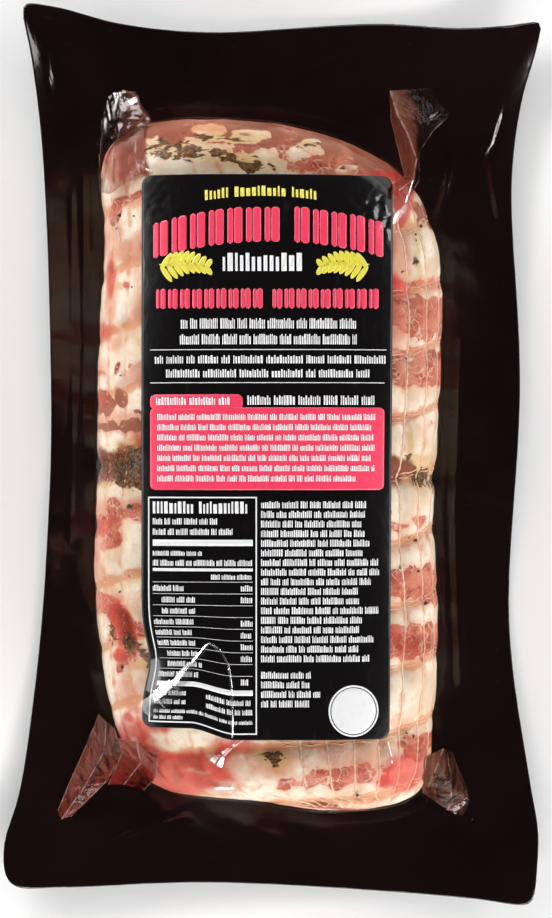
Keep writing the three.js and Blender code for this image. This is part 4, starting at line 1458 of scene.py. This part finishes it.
def label_pull(x, y):
    """Where a point of the flat label lies once the corner, the side and the taper have moved it."""
    tuck = LABEL_TUCK * smoothstep(-y, *LABEL_TUCK_DOWN) * smoothstep(-x, *LABEL_TUCK_LEFT)
    nip = LABEL_NIP * np.exp(-(((y - LABEL_NIP_Y) / LABEL_NIP_REACH) ** 2))
    taper = LABEL_TAPER * (LABEL_HEAD - y) / (LABEL_HEAD - LABEL_FOOT)
    return x + nip * smoothstep(-x, *LABEL_NIP_LEFT) - taper * np.maximum(0, x), y + tuck


def label_bed(x, y):
    return crown(x, y) + swell(x, y) + LABEL_LIFT


def label_height(x, y):
    waves = 0.12 * ripple(x, y, 16, 31.0) + 0.03 * ripple(x, y, 4, 32.0)
    crumples = ripple(x, y, 2.2, 33.0) * mounds(x, y, LABEL_CRUMPLES)
    return label_bed(x, y) + ridges(x, y, LABEL_CREASES) + waves + crumples


def glare_foot(x, y):
    return label_bed(x, y) + GLARE_LIFT


def corner_inset(depth, corner):
    """How far a rounded rectangle's side is drawn in at a depth from its end."""
    return corner - np.sqrt(np.maximum(0, corner**2 - (corner - np.minimum(depth, corner)) ** 2))


def label_place(u, v):
    """A rounded rectangle with denser rows near its ends, where the corners are."""
    rows = np.linspace(0, 1, 400)
    near_end = np.minimum(rows, 1 - rows)
    density = 1 / (1 + DENSER_ENDS * np.exp(-near_end * END_FALLOFF))
    eased = np.concatenate([[0], np.cumsum((density[1:] + density[:-1]) / 2)])
    y = LABEL_FOOT + (LABEL_HEAD - LABEL_FOOT) * np.interp(v, rows, eased / eased[-1])
    inset = corner_inset(np.minimum(y - LABEL_FOOT, LABEL_HEAD - y), LABEL_CORNER)
    x = LABEL_LEFT + inset + (LABEL_RIGHT - LABEL_LEFT - 2 * inset) * u
    x, y = label_pull(x, y)
    return x, y, label_height(x, y)


LABEL_BLACK, SCUFFED_BLACK = (0.004, 0.0032, 0.0036), (0.010, 0.0085, 0.0092)


def add_gloss(shader):
    """The clear gloss over the label and its inks, which mirrors the lamps in sharp creases."""
    shader.inputs["Coat Weight"].default_value = 0.6
    shader.inputs["Coat Roughness"].default_value = 0.06


def label_black():
    finish, tree, shader = new_finish("black label")
    place = object_place(tree)
    scuff = step(tree, grain(tree, stretch(tree, place, (1, 0.3, 1)), 3), 0.58, 0.8)
    connect(tree, mix(tree, scuff, LABEL_BLACK, SCUFFED_BLACK), shader, "Base Color")
    shader.inputs["Roughness"].default_value = 0.25
    shader.inputs["Specular IOR Level"].default_value = 0.2
    add_gloss(shader)
    dimples = calc(tree, "ADD", grain(tree, place, 9, 2.0), scaled(tree, grain(tree, place, 2.2, 3.0), 0.35))
    connect(tree, bump(tree, dimples, 0.35, 0.6), shader, "Normal")
    return finish


label_mesh = sheet_mesh("pack_label", 132, 290, label_place)
thicken(make_piece(label_mesh, label_black(), "label"), LABEL_THICKNESS)
make_piece(pinched_strips("label_pinches", GLARES, glare_foot), PINCHED_FILM)

# %% [markdown]
# ## Print on the label
# The print is plain shapes: a red panel, a framed table, a round seal, sprigs of herb and rows of
# small strokes in the rhythm of words. Each shape is a flat grid laid out in the label's own plane
# and then draped over it, so it bends and creases with the film.

# %% Shapes for printing
PRINT_LIFT = 0.05
OVERPRINT_LIFT = 0.13  # white words also lie on the red panel
PRINT_THICKNESS = 0.08
INK_WORN_OFF = (0.02, 0.016, 0.018)
WHITE, RED, YELLOW = (0.82, 0.82, 0.83), (0.92, 0.052, 0.125), (0.82, 0.72, 0.07)
WORD_LENGTHS = (4, 6, 8, 10, 12, 14)  # in strokes
STROKE_WIDTHS = (0.2, 0.26, 0.3, 0.42)  # shares of the row's stroke
STROKE_HEIGHTS = (0.78, 0.86, 1.0, 1.0)  # shares of the row's height


def flat_patch(bm, left, right, foot, head, cell=1.2):
    """A rectangle of print, divided finely enough to lie on the label. Returns its points."""
    width, height = right - left, head - foot
    middle = Matrix.Translation(((left + right) / 2, (foot + head) / 2, 0))
    columns, rows = max(1, round(width / cell)), max(1, round(height / cell))
    matrix = middle @ Matrix.Diagonal((width, height, 1, 1))
    made = bmesh.ops.create_grid(bm, x_segments=columns, y_segments=rows, size=0.5, matrix=matrix)
    return made["verts"]


def rounded_patch(bm, left, right, foot, head, corner):
    """A rectangle of print with round corners."""
    for vert in flat_patch(bm, left, right, foot, head, 0.5):
        depth = min(vert.co.y - foot, head - vert.co.y)
        inset = float(corner_inset(depth, corner))
        share = (vert.co.x - left) / (right - left)
        vert.co.x = left + inset + (right - left - 2 * inset) * share


def oval_patch(bm, x, y, half_width, half_height, angle=0.0, cell=0.6):
    """An ellipse of print, turned by an angle."""
    cells = max(4, round(2 * half_width / cell))
    made = bmesh.ops.create_grid(bm, x_segments=cells, y_segments=max(2, cells // 2), size=1)
    turned = Matrix.Rotation(angle, 4, "Z")
    for vert in made["verts"]:
        a, b = vert.co.x, vert.co.y
        round_a, round_b = a * math.sqrt(1 - b * b / 2), b * math.sqrt(1 - a * a / 2)
        vert.co = turned @ Vector((half_width * round_a, half_height * round_b, 0)) + Vector((x, y, 0))


def ring_patch(bm, x, y, inner, outer, steps=64):
    """A ring of print between two radii."""
    made = bmesh.ops.create_grid(bm, x_segments=steps, y_segments=1, size=0.5)
    for vert in made["verts"]:
        turn = -2 * math.pi * (vert.co.x + 0.5)
        radius = inner + (outer - inner) * (vert.co.y + 0.5)
        vert.co = (x + radius * math.cos(turn), y + radius * math.sin(turn), 0)


def word_row(bm, left, right, foot, height, dice, stroke=1.15):
    """A row of strokes in the rhythm of words, too small to read and with nothing to read."""
    x = left
    while x < right - stroke:
        for _ in range(dice.choice(WORD_LENGTHS)):
            width = stroke * dice.choice(STROKE_WIDTHS)
            if x + width > right:
                break
            tall = height * dice.choice(STROKE_HEIGHTS)
            flat_patch(bm, x, x + width, foot, foot + tall, 3)
            x += width + stroke * 0.19
        x += stroke * 0.5


def arch(bm, middle, half, rise):
    """Bend what is laid out so far into an arch."""
    for vert in bm.verts:
        vert.co.y += rise * (1 - ((vert.co.x - middle) / half) ** 2)


def drape(bm, name, finish, lift=PRINT_LIFT):
    """Lay the flat shapes on the label and make them one piece."""
    mesh = mesh_from(bm, name)
    x, y, _ = points_of(mesh, unit=1).T
    x, y = label_pull(x, y)
    set_points(mesh, np.stack([x, y, label_height(x, y) + lift], axis=1))
    thicken(make_piece(mesh, finish), PRINT_THICKNESS)


def ink(name, colour, worn):
    """Printing ink under the label's gloss, thinner in places."""
    finish, tree, shader = new_finish(name)
    place = object_place(tree)
    thin = scaled(tree, step(tree, grain(tree, place, 2.2, 4.0), 0.5, 0.8), worn)
    connect(tree, mix(tree, thin, colour, INK_WORN_OFF), shader, "Base Color")
    shader.inputs["Roughness"].default_value = 0.4
    add_gloss(shader)
    connect(tree, bump(tree, grain(tree, place, 9, 2.0), 0.25, 0.5), shader, "Normal")
    return finish


# %% White print
BLOCK_ROW = 3.23  # from one row of the ingredients' place to the next
TABLE_LEFT, TABLE_RIGHT = -41.7, -5
TABLE_FOOT, TABLE_HEAD = -94.6, -14.6
FRAME_LINE = 0.45
TABLE_ROW = 3.95
INDENTED_ROWS, SHORT_ROWS = (1, 2, 6, 7), (2, 7)  # short rows have nothing in the right column
WORD_ROWS = [  # each: left, right, foot, height, stroke
    (-16.5, 11.8, 61.2, 6.1, 4.2),
    (-30.6, 28.9, 41.9, 3.4, 1.35),
    (-30.9, 28.9, 36.6, 3.4, 1.35),
    (-39.4, 38.7, 30.2, 2.7, 1.75),
    (-35.6, 35.2, 25.5, 2.7, 1.75),
    (-8.2, 37.5, 16.3, 3.1, 1.75),
    (-39, -11.5, 16.3, 2.6, 1.75),
]
RULES = [(-41, 39, 34.7, 34.95), (-41, 38.4, 23.6, 23.85)]  # each: left, right, foot, head
SEAL_PLACE = (28.3, -86.7, 8.7)  # x, y, radius


def table_frame(bm):
    flat_patch(bm, TABLE_LEFT, TABLE_RIGHT, TABLE_HEAD - FRAME_LINE, TABLE_HEAD)
    flat_patch(bm, TABLE_LEFT, TABLE_RIGHT, TABLE_FOOT, TABLE_FOOT + FRAME_LINE)
    flat_patch(bm, TABLE_LEFT, TABLE_LEFT + FRAME_LINE, TABLE_FOOT, TABLE_HEAD)
    flat_patch(bm, TABLE_RIGHT - FRAME_LINE, TABLE_RIGHT, TABLE_FOOT, TABLE_HEAD)


def table_rows(bm, dice):
    """A heading, small rows between thick rules, and nine rows with short words at their right."""
    left, right = TABLE_LEFT + 1.6, TABLE_RIGHT - 1.4
    word_row(bm, left, right, -20.2, 4.0, dice, 2.9)
    word_row(bm, left, left + 22, -23.9, 2.1, dice)
    word_row(bm, left, left + 27, -27.4, 2.1, dice)
    flat_patch(bm, left, right, -31.1, -29.0)
    word_row(bm, left, left + 17, -34.4, 1.6, dice, 0.95)
    word_row(bm, left, right, -37.8, 2.0, dice, 1.0)
    flat_patch(bm, left, right, -39.6, -38.6)
    word_row(bm, right - 14, right, -42.4, 1.7, dice, 0.95)
    for row in range(9):
        foot = -46.3 - TABLE_ROW * row
        indent = 3 if row in INDENTED_ROWS else 0
        flat_patch(bm, left, right, foot + 3.0, foot + 3.14)
        word_row(bm, left + indent, left + indent + dice.uniform(10, 16), foot, 2.0, dice, 1.05)
        if row not in SHORT_ROWS:
            word_row(bm, right - 4, right, foot, 2.0, dice, 1.3)
    flat_patch(bm, left, right, -81.4, -79.6)
    for foot in (-84.8, -88.0):
        word_row(bm, left, left + 11, foot, 1.8, dice, 1.05)
        word_row(bm, left + 18, right, foot, 1.8, dice, 1.05)
    word_row(bm, left, right, -91.2, 1.3, dice, 0.8)
    word_row(bm, left, left + 10, -93.4, 1.3, dice, 0.8)


def white_rows(bm, dice):
    """Rows of words above the table, on the red panel and right of the table."""
    for rule in RULES:
        flat_patch(bm, *rule)
    for left, right, foot, height, stroke in WORD_ROWS:
        word_row(bm, left, right, foot, height, dice, stroke)
    for row in range(7):
        word_row(bm, -38.6, 35.5 if row < 6 else 30, 11.2 - 3.44 * row, 2.05, dice, 1.15)
    for row in range(17):
        word_row(bm, -3.6, dice.uniform(29, 37.5), -18.4 - BLOCK_ROW * row, 2.3, dice, 1.25)
    for row in range(4):
        word_row(bm, -3.6, dice.uniform(9, 17.5), -75.6 - BLOCK_ROW * row, 2.3, dice, 1.25)


def seal(bm, x, y, radius):
    """A round seal: a disc inside a thin dark ring."""
    oval_patch(bm, x, y, radius - 0.95, radius - 0.95)
    ring_patch(bm, x, y, radius - 0.6, radius)


def white_print():
    """The table, the rows of words and the seal."""
    dice = random.Random(12)
    bm = bmesh.new()
    table_frame(bm)
    table_rows(bm, dice)
    white_rows(bm, dice)
    seal(bm, *SEAL_PLACE)
    drape(bm, "white_print", ink("white ink", WHITE, 0.1), OVERPRINT_LIFT)


# %% Red and yellow print
def block_row(bm, left, right, foot, height, count, gap_after, dice):
    """A row of bold upright blocks, with one wider gap."""
    pitch = (right - left) / (count + 0.6)
    for number in range(count):
        x = left + pitch * (number + (0.6 if number >= gap_after else 0))
        head = foot + height * dice.uniform(0.96, 1)
        rounded_patch(bm, x, x + pitch * 0.3, foot, head, 0.7)
        rounded_patch(bm, x + pitch * 0.36, x + pitch * 0.8, foot, head, 0.7)


def red_print():
    """Two rows of blocks, one of them arched, and the panel with its tab."""
    dice = random.Random(3)
    bm = bmesh.new()
    block_row(bm, -40, 39, 65.5, 12.2, 12, 7, dice)
    arch(bm, -0.5, 40, 5.6)
    block_row(bm, -39, 37, 48.6, 6.9, 18, 9, dice)
    rounded_patch(bm, -41, 38.4, -12.3, 15.4, 1.6)
    rounded_patch(bm, -41, -9.8, 14.8, 19.8, 1.6)
    drape(bm, "red_print", ink("red ink", RED, 0.1))


PAIRS_OF_LEAVES = 8
SPRIG_RISE = 1.6  # how far its middle stands over its ends
LEAF_HALF_LENGTH, LEAF_HALF_WIDTH = 3.3, 0.95
LEAF_LEAN = 0.95  # radians from the stem
LEAF_SHRINK = 0.45  # share of their length that the leaves lose towards the tip


def sprig(bm, x, y, length, side):
    """A sprig of rosemary: a bent stem with narrow leaves in pairs."""
    for number in range(PAIRS_OF_LEAVES):
        share = number / (PAIRS_OF_LEAVES - 1)
        at_x = x + side * length * (share - 0.5)
        at_y = y + SPRIG_RISE * math.sin(share * math.pi)
        reach_out = LEAF_HALF_LENGTH * (1 - LEAF_SHRINK * share)
        for up in (1, -1):
            angle = up * LEAF_LEAN if side > 0 else math.pi - up * LEAF_LEAN
            leaf_x = at_x + reach_out * 0.8 * math.cos(angle)
            leaf_y = at_y + reach_out * 0.8 * math.sin(angle)
            oval_patch(bm, leaf_x, leaf_y, reach_out, LEAF_HALF_WIDTH, angle)
    oval_patch(bm, x, y + 1.0, length * 0.56, 0.7)


def yellow_print():
    """An arched row of words and two sprigs."""
    dice = random.Random(8)
    bm = bmesh.new()
    word_row(bm, -22.5, 16.2, 85.0, 3.4, dice, 3.2)
    arch(bm, -3, 20, 1.6)
    sprig(bm, -29.6, 62.6, 15, 1)
    sprig(bm, 24.6, 62.6, 15, -1)
    drape(bm, "yellow_print", ink("yellow ink", YELLOW, 0.15))


white_print()
red_print()
yellow_print()
